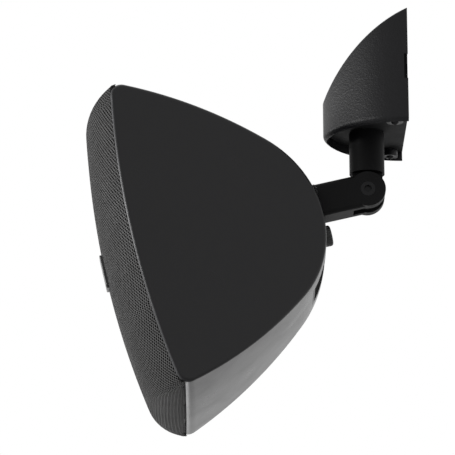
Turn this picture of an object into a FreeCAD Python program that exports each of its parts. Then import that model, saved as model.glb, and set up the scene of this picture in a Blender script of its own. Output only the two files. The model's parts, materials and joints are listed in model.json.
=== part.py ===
"""Wall speaker: a tapered, crowned cabinet behind a pillow grille, on a swivelling wall bracket.

The model stands in the wall's frame. The wall is the plane y = 0, the room lies towards -y and
z points up. The origin is the middle of the four wall screws. The cabinet, its drivers and its
arm are drawn in a speaker frame, x across, y towards the back and z up the front, which is
tilted about the knuckle pin.
"""
import FreeCAD
import Part
import Sketcher
import math
import os
import types

V = FreeCAD.Vector
X_AXIS = V(1, 0, 0)
Z_AXIS = V(0, 0, 1)

SIZES = (
    ("cab_height", 280.0, "cabinet front, from corner to corner"),
    ("cab_width", 213.0, "cabinet front, across the corners"),
    ("cab_depth", 157.5, "front corners to the back, at the edge sections"),
    ("cab_crown", 4.0, "rise of the skin from the edge sections to the middle"),
    ("section_margin", 12.0, "edge sections beyond the front corners"),
    ("back_round", 93.0, "radius of the back"),
    ("shoulder_round", 374.0, "radius of the top and bottom"),
    ("corner_round", 10.0, "radius of the front corners in side view"),
    ("front_bow", 12.7, "bow of the front rim in side view"),
    ("side_taper", 22.0, "angle of each side panel"),
    ("edge_round", 3.5, "fillet round each side panel"),
    ("cab_wall", 5.0, "cabinet wall"),
    ("rear_wall", 12.0, "thick wall behind the arm"),
    ("ledge_width", 11.0, "ledge behind the baffle"),
    ("ledge_depth", 8.0, "ledge, front to back"),
    ("rim_lip", 2.4, "cabinet rim outside the grille"),
    ("grille_gap", 0.4, "gap round the grille"),
    ("rebate_floor", 4.4, "seat of the grille behind the front corners"),
    ("grille_sheet", 1.2, "grille sheet"),
    ("grille_bulge", 25.0, "grille beyond the bow of the rim"),
    ("grille_sag", 13.73, "fall of the grille from its middle to the cabinet's sides"),
    ("grille_edge", 11.0, "rolled edges and corners of the grille"),
    ("cloth_sheet", 0.6, "cloth behind the grille"),
    ("cloth_gap", 0.1, "cloth to grille"),
    ("badge_height", 31.0, "plain plate on the grille"),
    ("badge_width", 20.0, "plain plate, across"),
    ("badge_thick", 2.5, "plain plate, thickness"),
    ("badge_corner", 3.0, "plain plate, corners"),
    ("badge_edge", 0.8, "plain plate, softened edge"),
    ("fit_gap", 0.3, "clearance between seated pieces"),
    ("baffle_front", 6.0, "face of the baffle behind the front corners"),
    ("baffle_thick", 12.0, "baffle"),
    ("seal_thick", 1.5, "foam seal between baffle and ledge"),
    ("baffle_screw_inset", 6.0, "baffle screws from the baffle's edge"),
    ("screw_radius", 1.75, "wood screw shank"),
    ("screw_head", 3.4, "wood screw head"),
    ("screw_head_height", 2.2, "wood screw head"),
    ("screw_length", 16.0, "wood screw shank"),
    ("driver_screw_length", 12.0, "driver screw shank, short of the baffle's back"),
    ("screw_room", 0.15, "clearance round a screw"),
    ("woofer_radius", 83.5, "woofer frame"),
    ("woofer_flange", 2.5, "woofer frame flange"),
    ("woofer_hole", 72.0, "baffle hole for the woofer"),
    ("frame_wall", 1.6, "pressed woofer frame"),
    ("frame_depth", 46.0, "woofer frame behind the baffle's face"),
    ("frame_foot", 40.0, "woofer frame at its back"),
    ("spoke_count", 5, "windows in the woofer frame"),
    ("spoke_window", 34.0, "window in the woofer frame, across"),
    ("window_front", 10.0, "front end of a frame window"),
    ("window_back", 33.0, "back end of a frame window"),
    ("roll_outer", 70.0, "outer edge of the surround's roll"),
    ("roll_inner", 58.0, "inner edge of the surround's roll"),
    ("roll_sheet", 0.9, "surround rubber"),
    ("surround_lip", 73.5, "outer edge of the surround's glued lip"),
    ("trim_inner", 71.0, "woofer trim ring, inside"),
    ("trim_outer", 75.0, "woofer trim ring, outside"),
    ("trim_thick", 2.2, "woofer trim ring"),
    ("woofer_screw_ring", 79.2, "woofer screws from its axis"),
    ("surround_inner", 55.5, "inner edge of the surround on the cone"),
    ("woofer_screws", 6, "screws in the woofer frame"),
    ("cone_sheet", 1.0, "cone paper"),
    ("cone_neck", 30.0, "cone neck behind the baffle's face"),
    ("cone_flare", 120.0, "curve of the cone"),
    ("cap_radius", 24.0, "dust cap rim"),
    ("cap_dome", 33.0, "dust cap sphere"),
    ("coil_radius", 13.0, "voice coil former, inside"),
    ("former_wall", 0.35, "voice coil former"),
    ("winding_wall", 0.55, "voice coil wire"),
    ("winding_length", 11.0, "voice coil winding"),
    ("coil_end", 57.0, "voice coil end behind the baffle's face"),
    ("air_gap", 0.45, "voice coil to iron"),
    ("spider_seat", 42.5, "spider behind the baffle's face"),
    ("spider_sheet", 0.6, "spider cloth"),
    ("spider_wave", 1.2, "height of a spider wave"),
    ("plate_thick", 5.0, "woofer front plate"),
    ("plate_radius", 37.0, "woofer front plate"),
    ("magnet_radius", 42.0, "woofer magnet"),
    ("magnet_hole", 20.0, "woofer magnet, hole"),
    ("magnet_thick", 16.0, "woofer magnet"),
    ("yoke_radius", 38.0, "woofer yoke"),
    ("yoke_thick", 6.0, "woofer yoke"),
    ("tweeter_rise", 85.0, "tweeter above the middle of the front"),
    ("tweeter_radius", 37.0, "tweeter plate"),
    ("tweeter_plate", 4.0, "tweeter plate"),
    ("horn_mouth", 27.0, "tweeter horn mouth"),
    ("horn_depth", 7.0, "tweeter horn depth"),
    ("dome_radius", 13.0, "tweeter dome rim"),
    ("dome_sphere", 15.0, "tweeter dome sphere"),
    ("dome_sheet", 0.6, "tweeter dome"),
    ("dome_lip", 17.0, "tweeter dome, glued edge"),
    ("tweeter_magnet", 25.0, "tweeter magnet"),
    ("tweeter_magnet_thick", 17.0, "tweeter magnet"),
    ("tweeter_hole", 29.0, "baffle hole for the tweeter"),
    ("tweeter_screws", 4, "screws in the tweeter plate"),
    ("tweeter_screw_ring", 33.0, "tweeter screws from its axis"),
    ("coil_recess", 2.0, "recess for the tweeter coil"),
    ("port_side", 48.5, "ports from the cabinet's sides"),
    ("port_drop", 35.0, "ports below the tweeter's middle"),
    ("port_bore", 12.5, "port bore"),
    ("port_wall", 2.0, "port wall"),
    ("port_flare", 5.0, "flare of the port mouth"),
    ("port_length", 42.0, "port"),
    ("back_inset", 5.0, "depth of the seat for the arm flange"),
    ("arm_rise", 19.8, "arm above the middle of the front"),
    ("arm_length", 46.0, "cabinet back to the knuckle pin"),
    ("arm_height", 30.0, "arm bar"),
    ("arm_width", 32.0, "arm bar and knuckle, across"),
    ("arm_soften", 4.0, "rounded edges of the arm bar"),
    ("knuckle_radius", 16.0, "round end of the arm"),
    ("flange_width", 58.0, "arm flange"),
    ("flange_height", 24.0, "arm flange"),
    ("flange_thick", 4.0, "arm flange"),
    ("flange_corner", 5.0, "arm flange corners"),
    ("flange_screw_x", 22.5, "flange screws from the middle"),
    ("flange_screw_z", 6.0, "flange screws from the arm's axis"),
    ("bolt_shank", 2.5, "flange screw shank"),
    ("bolt_head", 4.3, "flange screw head"),
    ("bolt_head_height", 2.6, "flange screw head"),
    ("bolt_length", 9.5, "flange screw shank"),
    ("tongue_thick", 13.0, "tongue of the post"),
    ("tongue_round", 13.6, "round end of the tongue"),
    ("joint_gap", 0.4, "tongue to cheeks and slot"),
    ("pin_radius", 4.0, "knuckle pin"),
    ("run_gap", 0.05, "running fit"),
    ("pin_head", 6.6, "knuckle pin head"),
    ("pin_head_depth", 5.0, "knuckle pin head"),
    ("nut_flats", 13.0, "knuckle nut across flats"),
    ("nut_thick", 5.0, "knuckle nut"),
    ("pan_reach", 35.2, "wall to the post's axis"),
    ("knuckle_drop", 105.0, "wall screws' middle down to the knuckle pin"),
    ("tilt_down", 12.8, "tilt of the cabinet, front down"),
    ("post_radius", 15.8, "post"),
    ("post_foot", 17.6, "post end above the knuckle pin"),
    ("stem_radius", 11.0, "stem of the post"),
    ("stem_top", 97.0, "stem end above the knuckle pin"),
    ("bush_wall", 2.0, "pan bush"),
    ("washer_thick", 1.5, "pan washers"),
    ("washer_radius", 15.4, "pan washers"),
    ("pan_nut_flats", 28.0, "nut on the stem, across flats"),
    ("pan_nut_thick", 7.0, "nut on the stem"),
    ("cover_half", 63.5, "bracket cover, half width at the wall"),
    ("cover_depth", 74.2, "bracket cover, wall to nose"),
    ("nose_round", 30.0, "bracket cover nose in plan"),
    ("cover_wall", 3.0, "bracket cover wall"),
    ("cover_bottom", 57.0, "bracket cover, lower edge below the wall screws' middle"),
    ("cover_top", 50.0, "bracket cover, tip above the wall screws' middle"),
    ("cover_kink", 21.0, "foot of the sloped roof below the wall screws' middle"),
    ("roof_round", 165.0, "radius of the sloped roof"),
    ("cover_soften", 6.0, "rounded lower edge of the cover"),
    ("roof_soften", 2.0, "softened edge of the roof"),
    ("notch_deep", 3.4, "notches in the cover's wall edges"),
    ("notch_tall", 23.0, "notches in the cover's wall edges"),
    ("notch_drop", 16.6, "foot of a notch below the wall screws' middle"),
    ("plate_half", 55.0, "bracket back plate, half width"),
    ("plate_top", 38.0, "bracket back plate, top"),
    ("back_plate", 5.0, "bracket back plate"),
    ("shelf_lift", 9.0, "shelf above the cover's lower edge"),
    ("shelf_thick", 7.0, "shelf"),
    ("boss_radius", 20.0, "boss round the post"),
    ("boss_height", 27.0, "boss above the shelf's underside"),
    ("rib_thick", 6.0, "ribs of the bracket"),
    ("rib_offset", 26.0, "ribs from the middle"),
    ("rib_height", 42.0, "ribs above the shelf"),
    ("rib_reach", 40.0, "ribs from the wall"),
    ("wall_hole", 2.75, "wall screw holes"),
    ("wall_hole_x", 84.0, "wall screw holes, across"),
    ("wall_hole_z", 56.0, "wall screw holes, up"),
    ("lug_radius", 7.5, "cover lugs under the shelf"),
    ("lug_spread", 53.0, "cover lug, from the middle"),
    ("lug_reach", 12.0, "cover lugs from the wall"),
    ("knob_radius", 9.4, "level knob"),
    ("knob_drop", 10.9, "level knob below the middle of the front"),
    ("knob_proud", 5.4, "level knob beyond the cabinet back"),
    ("knob_seat", 3.0, "depth of the level knob's seat"),
    ("knob_round", 2.0, "rounded rim of the level knob"),
    ("spindle_radius", 3.0, "level knob spindle"),
    ("control_radius", 11.0, "level control"),
    ("control_depth", 13.0, "level control"),
    ("flute_count", 18, "finger flutes round the level knob"),
    ("flute_radius", 1.0, "finger flutes"),
    ("cup_width", 50.0, "terminal cup"),
    ("cup_height", 36.0, "terminal cup"),
    ("cup_drop", 46.0, "terminal cup below the middle of the front"),
    ("cup_floor", 122.0, "terminal cup floor behind the front corners"),
    ("cup_wall", 2.4, "terminal cup"),
    ("post_spacing", 19.0, "terminal posts apart"),
    ("post_base", 5.5, "terminal post collar"),
    ("post_base_height", 3.0, "terminal post collar"),
    ("post_stud", 2.0, "terminal post stud"),
    ("cap_grip", 4.8, "terminal thumb nut"),
    ("cap_height", 9.0, "terminal thumb nut"),
    ("board_width", 70.0, "crossover board"),
    ("board_height", 44.0, "crossover board"),
    ("board_thick", 1.6, "crossover board"),
    ("board_gap", 5.0, "crossover board to the cup floor"),
    ("board_drop", 40.0, "crossover board below the middle of the front"),
    ("standoff", 3.0, "crossover standoffs"),
    ("standoff_x", 19.0, "standoffs from the middle"),
    ("standoff_z", 12.0, "standoffs from the cup's middle"),
    ("choke_radius", 13.0, "crossover choke"),
    ("choke_bore", 5.0, "crossover choke core"),
    ("choke_height", 14.0, "crossover choke"),
    ("cap_body", 6.0, "crossover capacitors"),
    ("cap_body_length", 26.0, "crossover capacitors"),
    ("resistor_size", 8.0, "crossover resistor"),
    ("resistor_length", 24.0, "crossover resistor"),
)


class Size:
    """A size that knows its number and the spreadsheet formula behind it."""

    def __init__(self, value, formula):
        self.value = float(value)
        self.formula = formula

    def __add__(self, other):
        other = as_size(other)
        return Size(self.value + other.value, f"({self.formula} + {other.formula})")

    def __sub__(self, other):
        other = as_size(other)
        return Size(self.value - other.value, f"({self.formula} - {other.formula})")

    def __mul__(self, other):
        other = as_size(other)
        return Size(self.value * other.value, f"({self.formula} * {other.formula})")

    def __truediv__(self, other):
        other = as_size(other)
        return Size(self.value / other.value, f"({self.formula} / {other.formula})")

    def __neg__(self):
        return Size(-self.value, f"(-1 * {self.formula})")


def as_size(number):
    """Take a plain number as a size of its own."""
    return number if isinstance(number, Size) else Size(number, f"({float(number)})")


def root(size):
    return Size(math.sqrt(size.value), f"sqrt({size.formula})")


def tangent(angle):
    return Size(math.tan(math.radians(angle.value)), f"tan({angle.formula})")


def cosine(angle):
    return Size(math.cos(math.radians(angle.value)), f"cos({angle.formula})")


doc = FreeCAD.newDocument("wall_speaker")
sheet = doc.addObject("Spreadsheet::Sheet", "Sizes")
S = types.SimpleNamespace()
for row, (alias, number, note) in enumerate(SIZES, start=1):
    sheet.set(f"A{row}", note)
    sheet.set(f"B{row}", str(number))
    sheet.setAlias(f"B{row}", alias)
    setattr(S, alias, Size(number, f"Sizes.{alias}"))
doc.recompute()

NOTHING = as_size(0)
sub_parts = []


def vector(x, y, z=0):
    """A point from sizes or numbers."""
    return V(as_size(x).value, as_size(y).value, as_size(z).value)


class Sketch:
    """A sketch on one of its body's own planes, with every point tied to the sheet."""

    def __init__(self, body, name, role, lift=NOTHING, shift=NOTHING):
        plane = next(item for item in body.Origin.OriginFeatures if item.Role == role)
        self.item = body.newObject("Sketcher::SketchObject", name)
        self.item.AttachmentSupport = [(plane, "")]
        self.item.MapMode = "FlatFace"
        self.item.setExpression("AttachmentOffset.Base.y", shift.formula)
        self.item.setExpression("AttachmentOffset.Base.z", lift.formula)

    def rule(self, kind, *where):
        self.item.addConstraint(Sketcher.Constraint(kind, *where))

    def tie(self, kind, *where, size):
        index = self.item.addConstraint(Sketcher.Constraint(kind, *where, size.value))
        self.item.setExpression(f"Constraints[{index}]", size.formula)

    def pin(self, piece, end, x, y):
        """Hold one end of a piece at a place from the sketch's origin."""
        self.tie("DistanceX", -1, 1, piece, end, size=as_size(x))
        self.tie("DistanceY", -1, 1, piece, end, size=as_size(y))

    def circle(self, x, y, radius):
        piece = self.item.addGeometry(Part.Circle(vector(x, y), Z_AXIS, radius.value))
        self.pin(piece, 3, x, y)
        self.tie("Radius", piece, size=radius)

    def arc(self, centre, radius, start, end):
        circle = Part.Circle(centre, Z_AXIS, radius.value)
        piece = self.item.addGeometry(Part.ArcOfCircle(circle, start, end))
        self.tie("Radius", piece, size=radius)
        return piece

    def loop(self, *points):
        """Close a loop. A third value is the radius of the arc that arrives at that point,
        above zero where the arc turns left and below zero where it turns right."""
        pieces = []
        for before, here in zip(points[-1:] + points[:-1], points):
            start = vector(before[0], before[1])
            end = vector(here[0], here[1])
            if len(here) == 2:
                pieces.append((self.item.addGeometry(Part.LineSegment(start, end)), 1, 2))
                continue
            turn = here[2]
            chord = end - start
            rise = math.sqrt(max(turn.value ** 2 - chord.Length ** 2 / 4, 0))
            left = V(-chord.y, chord.x, 0).normalize()
            centre = (start + end) / 2 + left * math.copysign(rise, turn.value)
            angles = [math.atan2(p.y - centre.y, p.x - centre.x) for p in (start, end)]
            if turn.value > 0:
                pieces.append((self.arc(centre, turn, *angles), 1, 2))
            else:
                pieces.append((self.arc(centre, -turn, *reversed(angles)), 2, 1))
        for (piece, _, last), point in zip(pieces, points):
            self.pin(piece, last, point[0], point[1])
        for (piece, _, last), (after, first, _) in zip(pieces, pieces[1:] + pieces[:1]):
            self.rule("Coincident", piece, last, after, first)

    def box(self, x, y, width, height):
        """A rectangle about a middle point."""
        w = as_size(width) / 2
        h = as_size(height) / 2
        x = as_size(x)
        y = as_size(y)
        self.loop((x - w, y - h), (x + w, y - h), (x + w, y + h), (x - w, y + h))


def new_body(label):
    body = doc.addObject("PartDesign::Body", label)
    body.Label = label
    return body


def feature(body, kind, sketch, **sizes):
    """Add a sketch-based feature to a body and tie its sizes."""
    item = body.newObject(f"PartDesign::{kind}", f"{body.Label}_{kind}")
    item.Profile = sketch.item
    for name, size in sizes.items():
        item.setExpression(name, as_size(size).formula)
    return item


def pad(body, sketch, length, symmetric=False, reverse=False):
    item = feature(body, "Pad", sketch, Length=length)
    item.SideType = "Symmetric" if symmetric else "One side"
    item.Reversed = reverse
    return item


def pocket(body, sketch, length, symmetric=False, reverse=False):
    """Cut a sketch through a body; a cut that removes nothing is an error."""
    doc.recompute()
    before = body.Shape.Volume
    item = feature(body, "Pocket", sketch, Length=length)
    item.SideType = "Symmetric" if symmetric else "One side"
    item.Reversed = reverse
    doc.recompute()
    if not body.Shape.Volume < before:
        raise RuntimeError(f"{body.Label}: a pocket removed nothing")
    return item


def turn(body, sketch, kind="Revolution", axis="V_Axis"):
    item = feature(body, kind, sketch, Angle=360)
    item.ReferenceAxis = (sketch.item, [axis])
    return item


def around(body, original, count):
    """Repeat a feature round the body's z axis."""
    axis = next(item for item in body.Origin.OriginFeatures if item.Role == "Z_Axis")
    item = body.newObject("PartDesign::PolarPattern", f"{body.Label}_pattern")
    item.Originals = [original]
    item.Axis = (axis, [""])
    item.Angle = 360
    item.setExpression("Occurrences", count.formula)
    body.Tip = item
    doc.recompute()
    return item


def fillet(body, radius, chosen):
    """Round the edges of a body that a test picks."""
    doc.recompute()
    base = body.Tip
    names = [f"Edge{n}" for n, edge in enumerate(base.Shape.Edges, start=1) if chosen(edge)]
    if not names:
        raise RuntimeError(f"{body.Label}: no edge to round")
    item = body.newObject("PartDesign::Fillet", f"{body.Label}_fillet")
    item.Base = (base, names)
    item.setExpression("Radius", radius.formula)
    doc.recompute()
    return item


def turned(label, *loops):
    """A solid of revolution about z, from loops of (radius, height)."""
    body = new_body(label)
    sketch = Sketch(body, f"{label}_profile", "XZ_Plane")
    for points in loops:
        sketch.loop(*points)
    turn(body, sketch)
    return body


def ring(inner, outer, low, high):
    """The section of a plain ring."""
    return ((inner, low), (outer, low), (outer, high), (inner, high))


def cut(label, base, *tools):
    """Take tools off a shape, one after another."""
    for n, tool in enumerate(tools, start=1):
        item = doc.addObject("Part::Cut", label if n == len(tools) else f"{label}_cut_{n}")
        item.Base = base
        item.Tool = tool
        base = item
    item.Label = label
    return item


def joined(label, *shapes):
    item = doc.addObject("Part::MultiFuse", label)
    item.Label = label
    item.Shapes = list(shapes)
    return item


def shared(label, *shapes):
    item = doc.addObject("Part::MultiCommon", label)
    item.Label = label
    item.Shapes = list(shapes)
    return item


def block(label, low, high):
    """A box between two corners given as sizes."""
    item = doc.addObject("Part::Box", label)
    item.Label = label
    for name, axis, a, b in zip(("Length", "Width", "Height"), "xyz", low, high):
        item.setExpression(name, (as_size(b) - as_size(a)).formula)
        item.setExpression(f"Placement.Base.{axis}", as_size(a).formula)
    return item


def rod(label, radius, low, length, axis="z"):
    """A cylinder that starts at a point and runs along +z or +y."""
    item = doc.addObject("Part::Cylinder", label)
    item.Label = label
    item.setExpression("Radius", as_size(radius).formula)
    item.setExpression("Height", as_size(length).formula)
    turned_by = -90 if axis == "y" else 0
    item.Placement = FreeCAD.Placement(vector(*low), FreeCAD.Rotation(X_AXIS, turned_by))
    return item


def keep(item, frame=FreeCAD.Placement()):
    """Set a finished sub-part in its frame and hand it in."""
    item.Placement = frame
    sub_parts.append(item)
    return item


def group(label, pattern, places, frame=FreeCAD.Placement()):
    """Copies of one piece, kept together as separate solids."""
    doc.recompute()
    copies = []
    for place in places:
        copy = pattern.Shape.copy()
        copy.Placement = place.multiply(pattern.Shape.Placement)
        copies.append(copy)
    item = doc.addObject("Part::Feature", label)
    item.Label = label
    item.Shape = Part.makeCompound(copies)
    return keep(item, frame)


def place(x, y, z, axis=X_AXIS, angle=0):
    return FreeCAD.Placement(vector(x, y, z), FreeCAD.Rotation(axis, angle))


def facing_back(x, y, z):
    """Stand a turned piece on its end, its z axis towards the speaker's back."""
    return place(x, y, z, X_AXIS, -90)


# Derived sizes that several pieces share
cab_back = S.cab_depth + S.cab_crown
rear_face = cab_back - S.rear_wall
half_height = S.cab_height / 2
bow_round = (half_height * half_height + S.front_bow * S.front_bow) / (S.front_bow * 2)
bow_axis = bow_round - S.front_bow
half_width = S.cab_width / 2
grille_sweep = (half_width * half_width + S.grille_sag * S.grille_sag) / (S.grille_sag * 2)
woofer_drop = (half_height - S.tweeter_rise + S.tweeter_radius) / 2
port_rise = S.tweeter_rise - S.port_drop
port_offset = half_width - S.port_side
cone_neck_radius = S.coil_radius + S.former_wall + S.run_gap
gap_hole = S.coil_radius + S.former_wall + S.winding_wall + S.air_gap
nut_corner = S.nut_flats / math.sqrt(3)
section_span = half_width + S.section_margin
side_slope = tangent(S.side_taper)
port_skirt = S.port_bore + S.port_wall
baffle_back = S.baffle_front + S.baffle_thick
pivot_depth = cab_back + S.arm_length
reach = S.front_bow + S.cab_crown + S.grille_bulge + S.section_margin
arm_seat = cab_back - S.back_inset
shelf_under = -S.cover_bottom + S.shelf_lift
boss_top = shelf_under + S.boss_height

pivot = vector(0, -S.pan_reach, -S.knuckle_drop)
tilt = FreeCAD.Rotation(X_AXIS, S.tilt_down.value)
speaker = FreeCAD.Placement(pivot - tilt.multVec(vector(0, pivot_depth, S.arm_rise)), tilt)
post_frame = FreeCAD.Placement(pivot, FreeCAD.Rotation())


def circles_meet(centre_a, radius_a, centre_b, radius_b, near):
    """The crossing of two circles that lies nearest to a point."""
    line = centre_b - centre_a
    along = (radius_a ** 2 - radius_b ** 2 + line.Length ** 2) / (2 * line.Length)
    aside = math.sqrt(radius_a ** 2 - along ** 2)
    unit = V(line).normalize()
    normal = V(-unit.y, unit.x, 0)
    both = [centre_a + unit * along + normal * aside * way for way in (1, -1)]
    return min(both, key=lambda point: (point - near).Length)


def side_centres():
    """Centres of the side view's arcs: back, shoulder, corner and front, upper half."""
    corner = vector(0, half_height)
    back = vector(S.cab_depth - S.back_round, 0)
    front = vector(bow_axis, 0)
    shoulder = circles_meet(back, S.shoulder_round.value - S.back_round.value,
                            corner, S.shoulder_round.value, back - corner * 2)
    knuckle = circles_meet(front, bow_round.value - S.corner_round.value,
                           shoulder, S.shoulder_round.value - S.corner_round.value, corner)
    return back, shoulder, knuckle, front


def heading(start, end):
    return math.atan2(end.y - start.y, end.x - start.x)


def side_outline(body, name, lift, grow):
    """The cabinet's side view, six tangent arcs, grown outwards by a size."""
    back, shoulder, corner, front = side_centres()
    steep = heading(shoulder, back)
    top = heading(shoulder, corner)
    brow = heading(front, corner)
    low_shoulder = V(shoulder.x, -shoulder.y, 0)
    low_corner = V(corner.x, -corner.y, 0)
    sketch = Sketch(body, name, "YZ_Plane", lift)
    arcs = [
        sketch.arc(back, S.back_round + grow, -steep, steep),
        sketch.arc(shoulder, S.shoulder_round + grow, steep, top),
        sketch.arc(corner, S.corner_round + grow, top, brow),
        sketch.arc(front, bow_round + grow, brow, 2 * math.pi - brow),
        sketch.arc(low_corner, S.corner_round + grow, -brow, -top),
        sketch.arc(low_shoulder, S.shoulder_round + grow, -top, -steep),
    ]
    for here, after in zip(arcs, arcs[1:] + arcs[:1]):
        sketch.rule("Tangent", here, 2, after, 1)
    sketch.pin(arcs[0], 3, S.cab_depth - S.back_round, 0)
    sketch.pin(arcs[3], 3, bow_axis, 0)
    for arc, height in ((arcs[1], half_height), (arcs[5], -half_height)):
        point = sketch.item.addGeometry(Part.Point(vector(0, height)), True)
        sketch.pin(point, 1, 0, height)
        sketch.tie("Distance", point, 1, arc, 3, size=S.shoulder_round)
    return sketch


def cabinet_form(label, inset):
    """The crowned cabinet between its two tapered sides, set in by a size."""
    body = new_body(label)
    sections = []
    for name, lift, rise in (("left", -section_span, NOTHING), ("middle", NOTHING, S.cab_crown),
                             ("right", section_span, NOTHING)):
        sections.append(side_outline(body, f"{label}_{name}", lift, rise - inset).item)
    loft = body.newObject("PartDesign::AdditiveLoft", f"{label}_loft")
    loft.Profile = sections[0]
    loft.Sections = sections[1:]
    doc.recompute()
    half = S.cab_width / 2 - inset / cosine(S.side_taper)
    deep = cab_back + S.section_margin
    far = section_span + S.section_margin
    trim = Sketch(body, f"{label}_taper", "XY_Plane", S.cab_height)
    for way in (1, -1):
        trim.loop(((half + reach * side_slope) * way, -reach), ((half - deep * side_slope) * way, deep),
                  (far * way, deep), (far * way, -reach))
    pocket(body, trim, S.cab_height * 2)
    return body


def shoulder_slope():
    """Fall of the top per unit of depth at the front corner."""
    _, shoulder, _, _ = side_centres()
    corner = vector(0, half_height)
    return as_size((corner.x - shoulder.x) / (corner.y - shoulder.y))


def mouth_half(inset, depth):
    return S.cab_width / 2 - inset / cosine(S.side_taper) - depth * side_slope


def mouth_rise(half):
    """Crown of the top edge between two points half a width from the middle."""
    return S.cab_crown * half * half / (section_span * section_span)


def mouth_height(inset, depth):
    """Half height of the cabinet mouth at its sides."""
    slope = shoulder_slope()
    lean = root(slope * slope + as_size(1))
    half = mouth_half(inset, depth)
    return half_height + S.cab_crown - mouth_rise(half) - inset * lean - depth * slope


def mouth_form(label, inset, front, back):
    """The flared mouth of the cabinet between two depths, set in by a size."""
    body = new_body(label)
    sections = []
    for name, depth in (("front", front), ("back", back)):
        half = mouth_half(inset, depth)
        height = mouth_height(inset, depth)
        rise = mouth_rise(half)
        bend = (half * half + rise * rise) / (rise * 2)
        sketch = Sketch(body, f"{label}_{name}", "XZ_Plane", -depth)
        sketch.loop((-half, -height), (half, -height, bend), (half, height), (-half, height, bend))
        sections.append(sketch.item)
    loft = body.newObject("PartDesign::AdditiveLoft", f"{label}_loft")
    loft.Profile = sections[0]
    loft.Sections = sections[1:]
    loft.Ruled = True
    doc.recompute()
    return body


def pillow_form(label, inset):
    """The grille's outer pillow, or a smaller one inside it by the same size all over."""
    extra = inset - S.rim_lip - S.grille_gap
    body = mouth_form(label, inset, -reach, S.rebate_floor)
    wide = S.cab_width
    sweep = grille_sweep - extra
    nose = -(S.front_bow + S.grille_bulge) + extra - bow_axis
    ends = nose + sweep - root(sweep * sweep - wide * wide)
    ahead = -reach * 2 - bow_axis
    face = Sketch(body, f"{label}_face", "XY_Plane", NOTHING, bow_axis)
    face.loop((-wide, ends), (wide, ends, sweep), (wide, ahead), (-wide, ahead))
    turn(body, face, "Groove", "H_Axis")
    doc.recompute()

    def runs_back(edge):
        ends_apart = edge.lastVertex().Point - edge.firstVertex().Point
        return abs(ends_apart.y) > max(abs(ends_apart.x), abs(ends_apart.z))

    fillet(body, S.grille_edge - extra,
           lambda edge: runs_back(edge) or edge.BoundBox.YMax < S.rebate_floor.value - 1)
    return body


def on_side_panel(edge):
    """Whether an edge lies in one of the two tapered side planes."""
    points = edge.discretize(Number=5)
    return all(abs(abs(point.x) - mouth_half(NOTHING, as_size(point.y)).value) < 1e-4 for point in points)


def cabinet():
    """The moulded shell with its mouth, ledge, arm seat and rear openings."""
    skin = cabinet_form("cabinet_skin", NOTHING)
    fillet(skin, S.edge_round, on_side_panel)
    ledge_back = baffle_back + S.seal_thick + S.ledge_depth
    hollow = shared("cabinet_hollow", cabinet_form("cabinet_inside", S.cab_wall),
                    block("cabinet_chamber", (-section_span, ledge_back, -S.cab_height),
                          (section_span, rear_face, S.cab_height)))
    mouth = mouth_form("cabinet_mouth", S.cab_wall, -reach, baffle_back + S.seal_thick)
    throat = mouth_form("cabinet_throat", S.cab_wall + S.ledge_width, S.baffle_front, ledge_back + S.fit_gap)
    rebate = mouth_form("cabinet_rebate", S.rim_lip, -reach, S.rebate_floor)
    seat = new_body("cabinet_arm_seat")
    outline = Sketch(seat, "arm_seat_outline", "XZ_Plane", -arm_seat)
    outline.box(0, S.arm_rise, S.flange_width + S.fit_gap * 2, S.flange_height + S.fit_gap * 2)
    pad(seat, outline, S.back_inset + S.arm_length, reverse=True)
    fillet(seat, S.flange_corner, lambda edge: abs(edge.tangentAt(edge.FirstParameter).y) > 1 - 1e-6)
    notch = Sketch(seat, "arm_bar_outline", "XZ_Plane", -arm_seat)
    notch.box(0, S.arm_rise, S.arm_width + S.fit_gap * 2, S.arm_height + S.fit_gap * 2)
    pad(seat, notch, S.back_inset + S.arm_length, reverse=True)
    tools = [hollow, mouth, throat, rebate, seat]
    for n, (x, z) in enumerate(flange_screw_places()):
        tools.append(rod(f"cabinet_screw_hole_{n}", S.bolt_shank + S.screw_room,
                         (x, rear_face, z), S.rear_wall, "y"))
    tools.append(rod("cabinet_knob_seat", S.knob_radius + S.joint_gap,
                     (0, cab_back - S.knob_seat, -S.knob_drop), S.arm_length, "y"))
    tools.append(rod("cabinet_spindle_hole", S.spindle_radius + S.joint_gap,
                     (0, rear_face, -S.knob_drop), S.rear_wall, "y"))
    tools.append(cup_block("cabinet_cup_hole", S.fit_gap, S.cup_floor - S.fit_gap, cab_back))
    grip = S.screw_length - S.baffle_thick + S.seal_thick
    for n, (x, z) in enumerate(baffle_screw_places()):
        tools.append(rod(f"cabinet_baffle_hole_{n}", S.screw_radius + S.screw_room,
                         (x, baffle_back, z), grip, "y"))
    keep(cut("cabinet_shell", skin, *tools), speaker)


def flange_screw_places():
    return [(S.flange_screw_x * a, S.arm_rise + S.flange_screw_z * b) for a in (1, -1) for b in (1, -1)]


def baffle_screw_places():
    """Corners and middles of the baffle's long sides."""
    inset = S.cab_wall + S.fit_gap + S.baffle_screw_inset
    across = mouth_half(inset, baffle_back)
    up = mouth_height(inset, baffle_back)
    return [(across * a, up * b) for a in (1, -1) for b in (1, 0, -1)]


def driver_screw_places():
    """Screws of both drivers, as places on the baffle."""
    places = []
    for radius, count, height in ((S.woofer_screw_ring, S.woofer_screws, -woofer_drop),
                                  (S.tweeter_screw_ring, S.tweeter_screws, S.tweeter_rise)):
        for spot in ring_places(radius, count, 0):
            places.append((as_size(spot.Base.x), height - spot.Base.y))
    return places


def cup_block(label, grow, front, back):
    """A box round the terminal cup, grown sideways by a size."""
    half = S.cup_width / 2 + grow
    tall = S.cup_height / 2 + grow
    return block(label, (-half, front, -S.cup_drop - tall), (half, back, -S.cup_drop + tall))


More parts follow.
